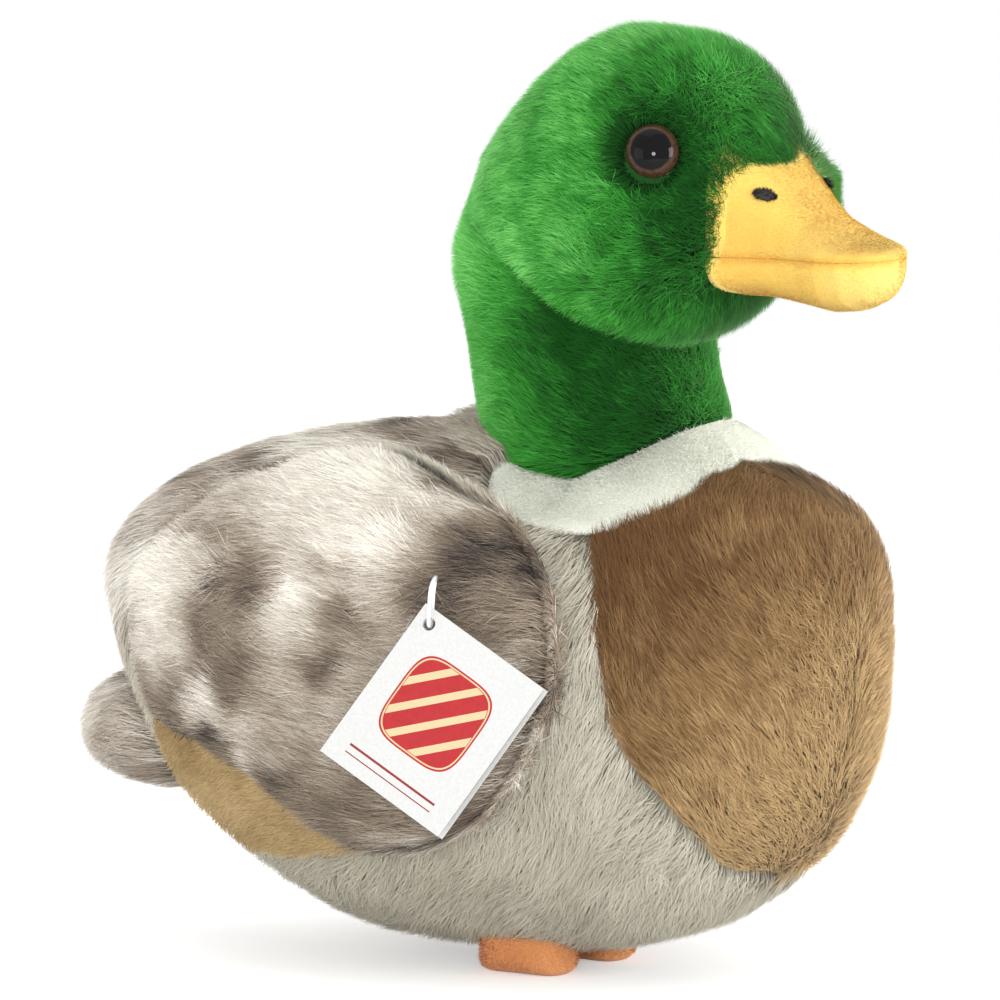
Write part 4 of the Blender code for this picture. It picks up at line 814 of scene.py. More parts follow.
# %% Wing roots
chance = np.random.default_rng(7)
wing_dirs = sown(cover_at, cover_dirs, COUNTS["wing"], chance)
wing_roots, wing_normals = cover_root_at(wing_dirs), normals_of(cover_at, wing_dirs)
rim = fade(wing_shares(wing_dirs)[0], 0.85, 0.15)
wing_tall = (0.0040 + 0.0012 * clumped(wing_roots, 15)) * (1 - 0.45 * rim)
wing_reach = 0.0115 * (0.8 + 0.4 * chance.random(len(wing_dirs))) * (1 - 0.35 * rim)
in_hem = np.repeat(np.arange(HEM_RING)[:, None] >= HEM_START, WING_SPOKE, 1)
hem_dirs = sown(lambda d: BODY.at(d, LINING_TOP), lining_dirs, COUNTS["hem"], chance, in_hem)
hem_roots, hem_normals = rooted(BODY.at, hem_dirs, LINING_TOP - 0.0006)

# The cover's rim is a low wall. Its pile stands out from it and curls up over the edge.
RIM_HEIGHTS = np.array([WADDING_LOW + WING_EDGE - 0.001, WADDING_LOW, WING_LOW])
edge_dirs = np.repeat(wing_directions(np.ones(1)), 3, axis=0)
rim_wall = BODY.at(edge_dirs, RIM_HEIGHTS[:, None])
rim_places = scatter(rim_wall, COUNTS["rim"], chance)
rim_roots, rim_dirs = read_grid(rim_wall, *rim_places), unit(read_grid(edge_dirs, *rim_places))
skin_out = normals_of(BODY.at, rim_dirs)
wall_out = rim_dirs * np.array([0, 1.0, 1.0])
wall_out = unit(wall_out - np.einsum("ij,ij->i", wall_out, skin_out)[:, None] * skin_out)
rim_normals = unit(0.9 * wall_out + 0.45 * skin_out)
rim_long = 1 + 0.7 * np.clip(wall_out[:, 2] * 2 - 0.4, 0, 1)
above = np.clip(wall_out[:, 2:] * 2 - 0.2, 0, 1)
comb_over_rim = np.array([0, 0.6, 0.06]) * (1 + above) + 0.7 * wall_out * (1 - above) + 0.6 * skin_out

# %% Wings
for (side, mirror), seed in zip(SIDES.items(), (17, 19)):
    body = f"wing_{side}"
    fur, hem_fur = (body, "mottled", MOTTLED), (body, "tan", TAN)
    put_pad(f"{body}_cover_backing", cover_pad, (body, "mottled", MOTTLED_CLOTH), f"{body}_cover", mirror)
    put_pad(f"{body}_lining_cloth", lining_pad, (body, "tan", TAN_CLOTH), f"{body}_lining", mirror)
    spread = np.random.default_rng(seed)
    roots, normals = wing_roots * mirror, wing_normals * mirror
    combs = combed(normals, hanging(normals, [0, 1.0, 0.12], 0.8), roots, spread, 0.2, 0.45)
    tone = mottle(roots)
    strands(f"{body}_cover_pile", roots, normals, combs, wing_tall, wing_reach, WING_WIDTH, tone, fur, 31)
    roots, normals = rim_roots * mirror, rim_normals * mirror
    combs = combed(normals, comb_over_rim * mirror, roots, spread, 0.3, 0.5)
    tall, reach, tone = 0.003 * rim_long, 0.0055 * rim_long, mottle(roots) + 0.04
    strands(f"{body}_rim_pile", roots, normals, combs, tall, reach, WING_WIDTH, tone, fur, 33)
    roots, normals = hem_roots * mirror, hem_normals * mirror
    combs = combed(normals, np.array([0, 0.9, -0.7]), roots, spread, 0.25, 0.5)
    tone = 0.55 + 0.4 * clumped(roots, 23)
    strands(f"{body}_hem_pile", roots, normals, combs, 0.0022, 0.0052, PLUSH_WIDTH, tone, hem_fur, 37)

# %% [markdown]
# ## Neck and head
# The neck is a bent tube: its middle line is a quadratic curve from the foot past a bend to the
# end, with a ring of points square to it at each place. The head is a superball. Both have a green
# pile that stands fairly upright, leans to the rear over the cheeks and turns outward round the
# eye. Its tone carries painted shade, darkest in front, round the eye and at the bill, and painted
# light at the nape, on the crown and on the left cheek's tuft.

# %% Neck
NECK_BEND, NECK_END = np.array([0, 0.0182, 0.054]), np.array([0, 0.0032, 0.085])
NECK_RADIUS, NECK_PILE_ROOT, NECK_SKIN, NECK_SHOWN = 0.0305, 0.0045, 0.0052, 0.9
NECK_RADIUS_SHARES = ((0.0, 0.985), (0.2, 0.975), (0.45, 0.985), (0.6, 0.925), (0.75, 0.81), (0.88, 0.62), (1.0, 0.34))
NECK_RINGS, NECK_COLUMNS = 40, 64


def neck_centre(share):
    """A place on the neck's middle line, and the line's direction there."""
    share = np.asarray(share, float)[..., None]
    rest = 1 - share
    place = NECK_ROOT + 2 * share * rest * NECK_BEND + share**2 * NECK_END
    return place, unit(rest * NECK_BEND + share * (NECK_END - NECK_BEND))


NECK_AXIS = neck_centre(0.0)[1]


def neck_at(share, turn, grow=0.0):
    """A point round the neck: turn 0 is its right side. The foot sags at both sides."""
    centre, along = neck_centre(share)
    ring = np.cos(turn)[..., None] * RIGHT + np.sin(turn)[..., None] * np.cross(along, RIGHT)
    sag = 0.005 * np.clip(1 - share / 0.3, 0, 1) * np.cos(turn) ** 2
    radius = NECK_RADIUS * table(NECK_RADIUS_SHARES, share) + grow
    return centre + radius[..., None] * ring - sag[..., None] * NECK_AXIS


neck_turns = np.linspace(0, 2 * math.pi, NECK_COLUMNS + 1)
neck_share, neck_turn = np.meshgrid(np.linspace(0, NECK_SHOWN, NECK_RINGS), neck_turns, indexing="ij")
neck_tubes = [
    neck_at(neck_share[:, :-1], neck_turn[:, :-1], -depth).reshape(-1, 3) for depth in (NECK_PILE_ROOT, NECK_SKIN)
]
neck_shell = shell(*neck_tubes, grid_quads(NECK_RINGS, NECK_COLUMNS))
put_pad("neck_backing", neck_shell, ("duck", "head", GREEN_CLOTH), "neck")

chance = np.random.default_rng(51)
neck_points = neck_at(neck_share, neck_turn)
in_sight = (HEAD.over(neck_points) > -0.004) & (BODY.over(neck_points) > -0.001)
row, column = scatter(neck_points, COUNTS["neck"], chance, in_sight[:-1, :-1])
share, turn = row / (NECK_RINGS - 1) * NECK_SHOWN, column / NECK_COLUMNS * 2 * math.pi
surface, roots, step = neck_at(share, turn), neck_at(share, turn, -NECK_PILE_ROOT), 0.01
normals = unit(np.cross(neck_at(share, turn + step) - surface, neck_at(share + step, turn) - surface))
normals *= np.sign(np.einsum("ij,ij->i", normals, roots - neck_centre(share)[0]))[:, None]
lumps = clumped(roots, 61)
combs = combed(normals, hanging(normals, [0, 0.9, 0.35], 1.1), roots, chance, 0.25, 0.5)

# At the back the pile rises to meet the head's, and low in front it hangs over the collar.
nape = fade(normals[:, 1], -0.45, 0.85)
below_head = np.clip(1 - HEAD.over(surface) / 0.012, 0, 1) * fade(HEAD.centre[2] - roots[:, 2], 0, 0.012)
low = np.clip(1 - (BODY.over(surface) - 0.001) / 0.006, 0, 1)
# The tone carries painted light and shade: darkest where the neck faces forward and to the right, lighter towards the
# nape, just under the back of the head and where it faces forward and to the left, and a little darker just under the
# head in front.
tone = -0.04 + 0.14 * lumps + 0.14 * noise(roots, 0.002, 63) + 0.6 * nape - 0.1 * below_head * (1 - nape)
tone += 0.3 * below_head * nape + 0.4 * fade(normals @ PLAN_ALONG, 0.5, 0.4)
combs = unit(combs - UP * (1.6 * low * (1 - nape))[:, None])
normals = unit(normals + UP * (0.4 * below_head * nape)[:, None])
tall = 0.0046 + 0.0010 * lumps + 0.0062 * below_head**2 * nape + 0.0034 * low * (1 - nape)
HEAD_FUR = ("duck", "head", GREEN)
strands("neck_pile", roots, normals, combs, tall, 0.006 + 0.002 * low, HEAD_WIDTH, tone, HEAD_FUR, 52)

# %% [markdown]
# ### Where the bill and the eyes go
# The bill is worked out first, because no pile grows inside it. Its section is a row of points:
# across = width * cos(angle) ** power and height = rise * sin(angle) ** power.

# %% Bill section
EYE_RADIUS, EYE_SINK = 0.0065, 0.0032
BILL_LENGTH, BILL_HALF_WIDTH, BILL_RISE, BILL_DEPTH = 0.0407, 0.016, 0.03, 0.0135
BILL_ROOT_Y, BILL_MOUTH_Z = HEAD.centre[1] - 0.0415 + 0.0097, HEAD.centre[2] - 0.0063
LOWER_POWER = 0.8
# Each row is a share of the length, then shares of width, rise and depth, and the upper half's power.
BILL_SHARES = (
    (0.0, 1.39, 1.0, 0.82, 0.5), (0.12, 1.25, 0.86, 0.8, 0.52), (0.25, 1.09, 0.67, 0.8, 0.56),
    (0.38, 0.975, 0.46, 0.86, 0.62), (0.5, 0.94, 0.31, 0.92, 0.7), (0.65, 0.97, 0.19, 0.99, 0.75),
    (0.78, 0.88, 0.13, 0.95, 0.8), (0.89, 0.68, 0.105, 0.8, 0.8), (0.96, 0.44, 0.09, 0.6, 0.8),
    (1.0, 0.15, 0.06, 0.4, 0.8),
)


def bill_section(share):
    """Half width, rise, depth and upper power at shares of the bill's length."""
    known, *columns = np.array(BILL_SHARES).T
    width, rise, depth, power = (np.interp(share, known, column) for column in columns)
    return BILL_HALF_WIDTH * width, BILL_RISE * rise, BILL_DEPTH * depth, power


def bill_at(share, angle, upward, grow=0.0):
    """A point on the bill's outside: angle 0 is its right edge and a half turn its left edge."""
    width, rise, depth, power = bill_section(share)
    power = power if upward else LOWER_POWER
    across = np.sign(np.cos(angle)) * np.abs(np.cos(angle)) ** power
    height = (rise + grow if upward else -depth - grow) * np.clip(np.sin(angle), 0, 1) ** power
    start = BILL_MOUTH_Z + (SEAM / 2 if upward else -SEAM / 2)
    return np.stack([-(width + grow) * across, BILL_ROOT_Y - share * BILL_LENGTH, start + height], -1)


def in_bill(points, grow):
    """Whether points lie inside the bill's section, grown all round."""
    width, rise, depth, power = bill_section(np.clip((BILL_ROOT_Y - points[:, 1]) / BILL_LENGTH, 0, 1))
    up = points[:, 2] - BILL_MOUTH_Z
    tall = np.where(up > 0, rise, depth) + grow
    power = np.where(up > 0, power, LOWER_POWER)
    across, high = np.abs(points[:, 0]) / (width + grow), np.abs(up) / tall
    return (across ** (1 / power) * across + high ** (1 / power) * high < 1) & (points[:, 1] < HEAD.centre[1])


# %% Head
HEAD_ROOT, EYE_GAP, HEAD_SPREAD = 0.0056, 0.0003, 0.0007
BROW_SHADE_PLACE, BROW_SHADE_SIZE = np.array([0.0215, 0.207]), np.array([0.017, 0.014])
eye_direction = unit(np.array([-0.805, -0.528, 0.438]) * np.array([0.0375, 0.0415, 0.0457]))[None]
eye_surface, eye_axis = HEAD.at(eye_direction)[0], normals_of(HEAD.at, eye_direction)[0]
head_dirs = ball_directions(61, 97)
put_pad("head_backing", loft(HEAD.at(head_dirs, -HEAD_ROOT)[1:-1, :-1]), ("duck", "head", GREEN_CLOTH), "head")

for order, (side, mirror) in enumerate(SIDES.items()):
    chance = np.random.default_rng(61 + order)
    across = head_dirs[:-1, :-1, 0]
    half = (across * mirror[0] < 0) | (np.abs(across) < 1e-9)
    directions = sown(HEAD.at, head_dirs, COUNTS["head"], chance, half)
    surface, axis = HEAD.at(directions), eye_axis * mirror
    from_eye = surface - eye_surface * mirror
    from_eye = from_eye - (from_eye @ axis)[:, None] * axis
    eye_away = np.linalg.norm(from_eye, axis=1)
    in_neck = np.linalg.norm((surface - neck_centre(0.5)[0])[:, :2], axis=1) < 0.022
    in_neck &= surface[:, 2] < HEAD.centre[2] - 0.02
    grows = (eye_away > EYE_RADIUS + EYE_GAP) & ~in_bill(surface, -0.0014) & ~in_neck
    directions, from_eye, eye_away = directions[grows], from_eye[grows], eye_away[grows]
    roots, normals = rooted(HEAD.at, directions, -HEAD_ROOT)
    surface = HEAD.at(directions)
    lumps = clumped(roots, 71)
    chin = fade(HEAD.centre[2] - surface[:, 2], 0.012, 0.015)
    crown = fade(surface[:, 2] - HEAD.centre[2], 0.018, 0.02)
    ring = np.clip(1 - (eye_away - EYE_RADIUS) / 0.006, 0, 1)
    bill_shade = np.clip(1 - (surface[:, 1] - BILL_ROOT_Y + 0.002) / 0.028, 0, 1)
    rear = fade(normals[:, 1], -0.3, 0.6)
    # Over the bill's root the pile hangs forward, and the left cheek's stands out past the bill.
    over_mouth = surface[:, 2] - BILL_MOUTH_Z
    fringe = fade(over_mouth, 0.0205, 0.004) * fade(-over_mouth, -0.048, 0.014)
    fringe *= np.clip(1.7 - np.abs(surface[:, 0]) / 0.012, 0, 1) * (surface[:, 1] < BILL_ROOT_Y + 0.006)
    tuft = np.clip(1.8 - np.abs(over_mouth - 0.010) / 0.009, 0, 1) * fade(-surface[:, 1], 0.057, 0.009)
    tuft *= (1 - fringe) * (np.abs(surface[:, 0]) > 0.012) * (side == "left")
    comb = np.array([0, 1.0, 0.3]) * (1 - chin)[:, None] + np.array([0, 0.55, -0.8]) * chin[:, None]
    comb = comb - UP * (1.3 * np.clip(normals[:, 1], 0, 1) * (1 - crown))[:, None]
    comb = comb * (1 - ring)[:, None] + unit(from_eye) * (ring * 1.6)[:, None]
    comb = comb * (1 - np.maximum(fringe, tuft))[:, None] + fringe[:, None] * np.array([0, -1.2, -0.7])
    comb = comb + tuft[:, None] * np.array([0, -1.4, 0.1])
    combs = combed(normals, comb, roots, chance, 0.28, 0.55)
    ragged = chance.uniform(-HEAD_SPREAD, HEAD_SPREAD, len(roots))
    tall = (0.0056 + 0.0010 * lumps + ragged) * (1 - 0.25 * ring) + 0.0080 * tuft
    reach = (0.0040 + 0.0012 * chance.random(len(roots))) * (1 - 0.2 * ring) + 0.001 * fringe
    # The tone carries painted shade and light: darker round the eye, by the bill and over the brow, a little darker
    # under the chin in front, lighter on the crown and on the left cheek's tuft.
    brow_shade = np.exp(-(((plan_of(surface) - BROW_SHADE_PLACE) / BROW_SHADE_SIZE) ** 2).sum(-1))
    tone = 0.6 + 0.22 * lumps + 0.2 * noise(roots, 0.0022, 73) - 0.42 * ring - 0.62 * bill_shade * (1 - 0.45 * crown)
    tone += 0.14 * crown - 0.03 * chin * (1 - rear) + 0.6 * tuft - 0.42 * brow_shade
    normals[:, 2] *= np.where(normals[:, 2] < 0, 1 - 0.85 * rear, 1)
    normals = unit(normals - REARWARD * (1.5 * tuft)[:, None])
    strands(f"head_{side}_pile", roots, normals, combs, tall, reach, HEAD_WIDTH, tone, HEAD_FUR, 81 + order)

# %% [markdown]
# ## Bill
# The bill is two sewn halves of short velour that meet at the mouth. The nap is about half a
# millimetre high, so its strands are single triangles.

# %% Bill
BILL_RINGS, BILL_COLUMNS, BILL_SINK = 60, 33, 0.0005


def bill_rings(upward):
    """Sections from the root to the tip, and two more that close the blunt tip."""
    shares = np.linspace(0, 1, BILL_RINGS) ** 0.85
    share, angle = np.meshgrid(shares, np.linspace(0, math.pi, BILL_COLUMNS), indexing="ij")
    rings = bill_at(share, angle, upward, -BILL_SINK)
    heart = rings[-1].mean(0)
    return np.concatenate([rings, heart + (rings[-1:] - heart) * 0.6, heart + (rings[-1:] - heart) * 0.15])


def grid_normals(points, inside):
    """Normals of a grid of points from the steps to its neighbours, facing away from the inside."""
    facing = unit(np.cross(np.gradient(points, axis=0), np.gradient(points, axis=1)))
    return facing * np.sign(np.einsum("ijk,ijk->ij", facing, points - inside))[..., None]


chance = np.random.default_rng(91)
for upward, name in ((True, "upper_bill"), (False, "lower_bill")):
    outside = bill_rings(upward)
    put_pad(f"{name}_velour", loft(outside), ("duck", "bill", YELLOW_CLOTH), name)
    facing = grid_normals(outside, outside[:, BILL_COLUMNS // 2, None] - UP * (0.01 if upward else -0.01))
    facing[-2:] = -REARWARD
    places = scatter(outside, COUNTS[name], chance)
    roots, normals = read_grid(outside, *places), unit(read_grid(facing, *places))
    outer = HEAD.over(roots) > 0.0002
    roots, normals = roots[outer], normals[outer]
    combs = combed(normals, np.array([0, -1.0, -0.1]), roots, chance, 0.4, 0.25)
    tone = 0.42 + 0.16 * clumped(roots, 93) + 0.5 * fade((BILL_ROOT_Y - roots[:, 1]) / BILL_LENGTH, 0.3, 1)
    # Painted shade darkens the nap along the crease of the mouth.
    tone -= 0.6 * np.exp(-(((roots[:, 2] - BILL_MOUTH_Z) / 0.0011) ** 2))
    look = ("duck", "bill", YELLOW)
    strands(f"{name}_nap", roots, normals, combs, 0.0005, 0.0009, BILL_WIDTH, tone, look, 95, steps=1)

# %% [markdown]
# ### Nostrils
# Each nostril is a patch of black satin stitch that lies on the velour: an oval whose surface is
# ridged by the threads that run across it, height = thickness * (1 + ridge * sin(along)). A few
# hundred loose fibres blur its outline.

# %% Nostrils
def clouded(name, scale, detail, dark, pale, gloss):
    """A finish whose colour and roughness drift a little, by one noise."""
    paint = Paint(name)
    cloud = paint.noise(scale, detail)
    return paint.feed(Base_Color=paint.shades(cloud, dark, pale), Roughness=gloss[0] + cloud * gloss[1])


THREAD = clouded("black_thread", 1800.0, 2.0, (0.3, (0.004,) * 3), (0.8, (0.03,) * 3), (0.45, 0.3))
NOSTRIL_ANGLE, NOSTRIL_SHARE, STEP = math.radians(45), 0.29, 0.02
NOSTRIL_HALVES, NOSTRIL_LIFT = np.array([0.0054, 0.003, 0.0014]) / 2, 0.0003
places = ((0, 0), (STEP, 0), (0, STEP))
here, ahead, beside = (bill_at(np.array(NOSTRIL_SHARE + s), np.array(NOSTRIL_ANGLE + a), True) for s, a in places)
out = unit(np.cross(beside - here, ahead - here))
out *= np.sign(out @ RIGHT)
along = unit(np.cross(out, PLAN_UP + 0.15 * PLAN_ALONG))
along *= -np.sign(along[1])
axes = np.array([along, np.cross(out, along), out])
tilt, turn = np.linspace(0.05, math.pi - 0.05, 40)[:, None], np.linspace(0, 2 * math.pi, 49)[:-1]
ball = np.stack([np.cos(tilt) + 0 * turn, np.sin(tilt) * np.cos(turn), np.sin(tilt) * np.sin(turn)], -1)
ridge = 1 + 0.12 * np.sin(ball[..., 0] * 42)[..., None] * np.array([0, 0.3, 1.0])
middle = here + NOSTRIL_LIFT * out
oval = loft(middle + (ball * ridge * NOSTRIL_HALVES) @ axes)
for side, mirror in SIDES.items():
    put_mesh(f"nostril_{side}_stitching", oval, ("duck", "thread", THREAD), f"nostril_{side}", mirror)
    chance = np.random.default_rng(97)
    tufts = ball[tuple(chance.integers(0, size, COUNTS["nostril"]) for size in ball.shape[:2])]
    tufts = tufts[tufts[:, 2] > -0.2]
    roots = (middle + (tufts * NOSTRIL_HALVES) @ axes) * mirror
    grown = unit(tufts * np.array([0.5, 0.8, 1.6]) @ axes) * mirror
    combs = combed(grown, np.array([0, -0.6, -0.6]), roots, chance, 0.9, 0.3)
    tone, look = np.full(len(roots), 0.3), ("duck", "thread", BLACK)
    strands(f"nostril_{side}_fibres", roots, grown, combs, 0.0006, 0.0004, STITCH_WIDTH, tone, look, 98, steps=1)

# %% [markdown]
# ## Eyes
# A safety eye is a moulded dome on a shank. The plastic is clear brown over a black pupil, with a
# hard gloss. The pupil is a disc by distance from the eye's axis.

# %% Eyes
PUPIL_RADIUS, PUPIL_BLUR = 0.0048, 0.0003
DOME_FOOT, DOME_RISE, SHANK_RADIUS, SHANK_LENGTH = 0.0008, 0.0047, 0.0018, 0.0095


def lathe(profile, columns, base, axis):
    """Rings of a profile of (radius, height) pairs turned round an axis."""
    side = unit(np.cross(axis, UP))
    turn = np.linspace(0, 2 * math.pi, columns, endpoint=False)[:, None]
    ring = np.cos(turn) * side + np.sin(turn) * np.cross(axis, side)
    return np.stack([base + height * axis + radius * ring for radius, height in profile])


def eye_paint(name, centre, axis):
    gloss = Paint(name, Specular_IOR_Level=0.16)
    offset = gloss.from_point(centre)
    far = gloss.node("VectorMath", {"operation": "LENGTH"}, {0: offset}, 1)
    up = gloss.dot(offset, axis)
    out = (far * far - up * up).at_least(0.0) ** 0.5
    rim = ((out - PUPIL_RADIUS) / PUPIL_BLUR).clipped()
    fleck = gloss.noise(900.0, 3.0)
    brown = gloss.shades(fleck, (0.3, linear(48, 33, 23)), (0.7, linear(74, 52, 36)))
    return gloss.feed(Base_Color=gloss.mix(rim, (0.002, 0.002, 0.002, 1), brown), Roughness=0.05 + fleck * 0.03)


eye_back = eye_surface - EYE_SINK * eye_axis
arc = np.linspace(math.pi / 2 - 0.03, 0, 24)
dome = [(EYE_RADIUS * math.cos(a), DOME_FOOT + DOME_RISE * math.sin(a)) for a in arc]
shank = [(EYE_RADIUS, 0.0), (SHANK_RADIUS, 0.0), (SHANK_RADIUS, -SHANK_LENGTH)]
eye_shape = loft(lathe([*dome, *shank], 64, eye_back, eye_axis))
for side, mirror in SIDES.items():
    gloss = eye_paint(f"eye_gloss_{side}", eye_back * mirror + MIDDLE, eye_axis * mirror)
    put_mesh(f"eye_{side}_dome", eye_shape, ("duck", "eye", gloss), f"eye_{side}", mirror)

# %% [markdown]
# ## Collar
# A white velour band lies on the shoulders and stands off the breast in front. Its section, from
# the neck to the edge and back under, is carried round the neck. Where it meets the neck is found
# by halving: the lowest place on the neck that clears the body by a set height.

# %% Collar
COLLAR_COLUMNS, COLLAR_CLEAR, COLLAR_TOP_ROWS = 120, 0.0018, 10


def place_on_body(points):
    """The tilt and turn of points seen from the body's centre, and their height over the body."""
    direction = unit(points - BODY.centre)
    return np.arccos(direction @ BODY_POLE), np.arctan2(direction @ RIGHT, direction @ BODY_AHEAD), BODY.over(points)


collar_turns = np.linspace(0, 2 * math.pi, COLLAR_COLUMNS, endpoint=False)
low, high = np.zeros(COLLAR_COLUMNS), np.full(COLLAR_COLUMNS, 0.6)
for _ in range(30):
    middle = (low + high) / 2
    over = BODY.over(neck_at(middle, collar_turns, SEAM)) > COLLAR_CLEAR
    high, low = np.where(over, middle, high), np.where(over, low, middle)
tilt, turn, height = place_on_body(neck_at(high, collar_turns, SEAM))
edge = np.maximum(angle_table(COLLAR_EDGE_DEG, np.abs(turn)), tilt + math.radians(2.5))
edge_height = 0.0011 + 0.0035 * np.clip(np.cos(turn), 0, 1) ** 2
section = []
for share in np.linspace(0, 1, 9):
    lift = height * (1 - share) + edge_height * share + 0.002 * share * (1 - share) - 0.0006
    section.append(BODY.at(body_direction(tilt + share * (edge - tilt), turn), lift))
for share, sink in ((1.0, 0.0002), (0.55, 0.0006), (0.0, 0.0006)):
    section.append(BODY.at(body_direction(tilt + share * (edge - tilt), turn), -sink - 0.001 * share))
section.append(neck_at(np.zeros(COLLAR_COLUMNS), collar_turns, -0.003) - 0.0004 * NECK_AXIS)
section = np.array(section)
# The last ring is joined to the first, so the section is closed.
quads = grid_quads(len(section) + 1, COLLAR_COLUMNS) % (len(section) * COLLAR_COLUMNS)
points = section.reshape(-1, 3)
put_pad("collar_velour", (points, faced_out(points, [quads])), ("duck", "collar", WHITE_CLOTH), "collar")
band = np.concatenate([section[:COLLAR_TOP_ROWS], section[:COLLAR_TOP_ROWS, :1]], axis=1)
chance = np.random.default_rng(111)
places = scatter(band, COUNTS["collar"], chance)
roots, normals = read_grid(band, *places), unit(read_grid(grid_normals(band, BODY.centre), *places))
combs = combed(normals, unit(roots - NECK_ROOT) + np.array([0, 0.3, -0.4]), roots, chance, 0.5, 0.5)
tone, look = 0.5 + 0.25 * clumped(roots, 113), ("duck", "collar", WHITE)
strands("collar_nap", roots, normals, combs, 0.0007, 0.0011, COLLAR_WIDTH, tone, look, 115, steps=1)

# %% [markdown]
# At the rear the back's pile stands up against the neck and hides the band. This ruff thins out
# towards the sides.

# %% Ruff
RUFF_ROWS, RUFF_COLUMNS = 12, 61
ruff_turn = np.radians(np.linspace(88, 272, RUFF_COLUMNS))
ruff_start = table(HOLE_DEG, np.degrees(np.minimum(ruff_turn, 2 * math.pi - ruff_turn)))
ruff_tilt = np.radians(ruff_start + np.linspace(-1.0, 9.0, RUFF_ROWS)[:, None])
chance = np.random.default_rng(141)
row, column = scatter(BODY.at(body_direction(ruff_tilt, ruff_turn + 0 * ruff_tilt)), COUNTS["ruff"], chance)
tilt, turn = read_grid(ruff_tilt[..., None], row, column)[:, 0], np.interp(column, np.arange(RUFF_COLUMNS), ruff_turn)
roots, normals = rooted(BODY.at, body_direction(tilt, turn), 0.0002)
combs = combed(normals, np.array([0, 1.0, 0.1]), roots, chance, 0.25, 0.5)
thinned = np.clip((118 - np.degrees(np.minimum(turn, 2 * math.pi - turn))) / 16, 0, 1)
kept = chance.random(len(roots)) > thinned
roots, normals, combs = roots[kept], normals[kept], combs[kept]
tall, MOTTLED_FUR = 0.0052 + 0.001 * clumped(roots, 143), ("duck", "mottled", MOTTLED)
strands("back_ruff_pile", roots, normals, combs, tall, 0.0085, PLUSH_WIDTH, mottle(roots), MOTTLED_FUR, 145)

# %% [markdown]
# ## Tail and feet
# The tail is a small stuffed pad in the wings' fabric. The feet are velour pads with flat soles:
# what would reach below the ground is drawn in along its line to the pad's centre.

# %% Tail
TAIL_ROOT = 0.0036
tail_dirs = ball_directions(41, 65, REARWARD, UP)
tail_skin = loft(TAIL.at(tail_dirs[1:-1, :-1], -TAIL_ROOT))
put_pad("tail_backing", tail_skin, ("duck", "mottled", MOTTLED_CLOTH), "tail")
chance = np.random.default_rng(121)
directions = sown(TAIL.at, tail_dirs, COUNTS["tail"], chance)
directions = directions[BODY.over(TAIL.at(directions)) > -0.001]
roots, normals = rooted(TAIL.at, directions, -TAIL_ROOT)
combs = combed(normals, hanging(normals, [0, 1.0, 0.0], 0.5), roots, chance, 0.2, 0.4)
tall, tone = 0.0044 + 0.001 * clumped(roots, 127), mottle(roots) + 0.2 + 0.34 * clumped(roots, 125)
strands("tail_pile", roots, normals, combs, tall, 0.0105, PLUSH_WIDTH, tone, MOTTLED_FUR, 123)

# %% Feet
FOOT = Superball(
    np.array([-0.013, -0.0185, 0.006]), (0.0092, 0.0118, 0.0118, 0.0065, 0.0065), (7.0, 7.0, 7.0, 7.0, 2.6)
)
FOOT_SINK, SOLE_BARE = 0.0003, 0.0012


def foot_at(directions, grow=0.0):
    points = FOOT.at(directions, grow)
    share = FOOT.centre[2] / np.maximum(FOOT.centre[2] - points[..., 2], FOOT.centre[2])
    return FOOT.centre + (points - FOOT.centre) * share[..., None]


foot_dirs = ball_directions(49, 65)
foot_pad = loft(foot_at(foot_dirs[1:-1, :-1], -FOOT_SINK))
directions = sown(foot_at, foot_dirs, COUNTS["foot"], np.random.default_rng(131))
directions = directions[foot_at(directions)[:, 2] > SOLE_BARE]
for side, mirror in SIDES.items():
    put_pad(f"foot_{side}_velour", foot_pad, ("duck", "foot", ORANGE_CLOTH), f"foot_{side}", mirror)
    roots, normals = (part * mirror for part in rooted(foot_at, directions, -FOOT_SINK))
    combs = combed(normals, np.array([0, -0.6, -0.6]), roots, np.random.default_rng(133), 0.5, 0.3)
    tall = 0.0010 * np.clip(roots[:, 2] / 0.003, 0.2, 1)
    tone, look = 0.5 + 0.3 * clumped(roots, 135), ("duck", "foot", ORANGE)
    strands(f"foot_{side}_nap", roots, normals, combs, tall, 0.0006, FOOT_WIDTH, tone, look, 137, steps=1)

# %% [markdown]
# ## Swing tag
# The tag is a folded white card on a plastic loop. Its print here is a plain red panel with cream
# stripes over two thin rules, all worked out from each point's place along and across the leaf,
# in millimetres from the hole.

# %% Tag paint
PANEL_ALONG, PANEL_ACROSS, PANEL_HALF = 16.5, 14.7, 12.0


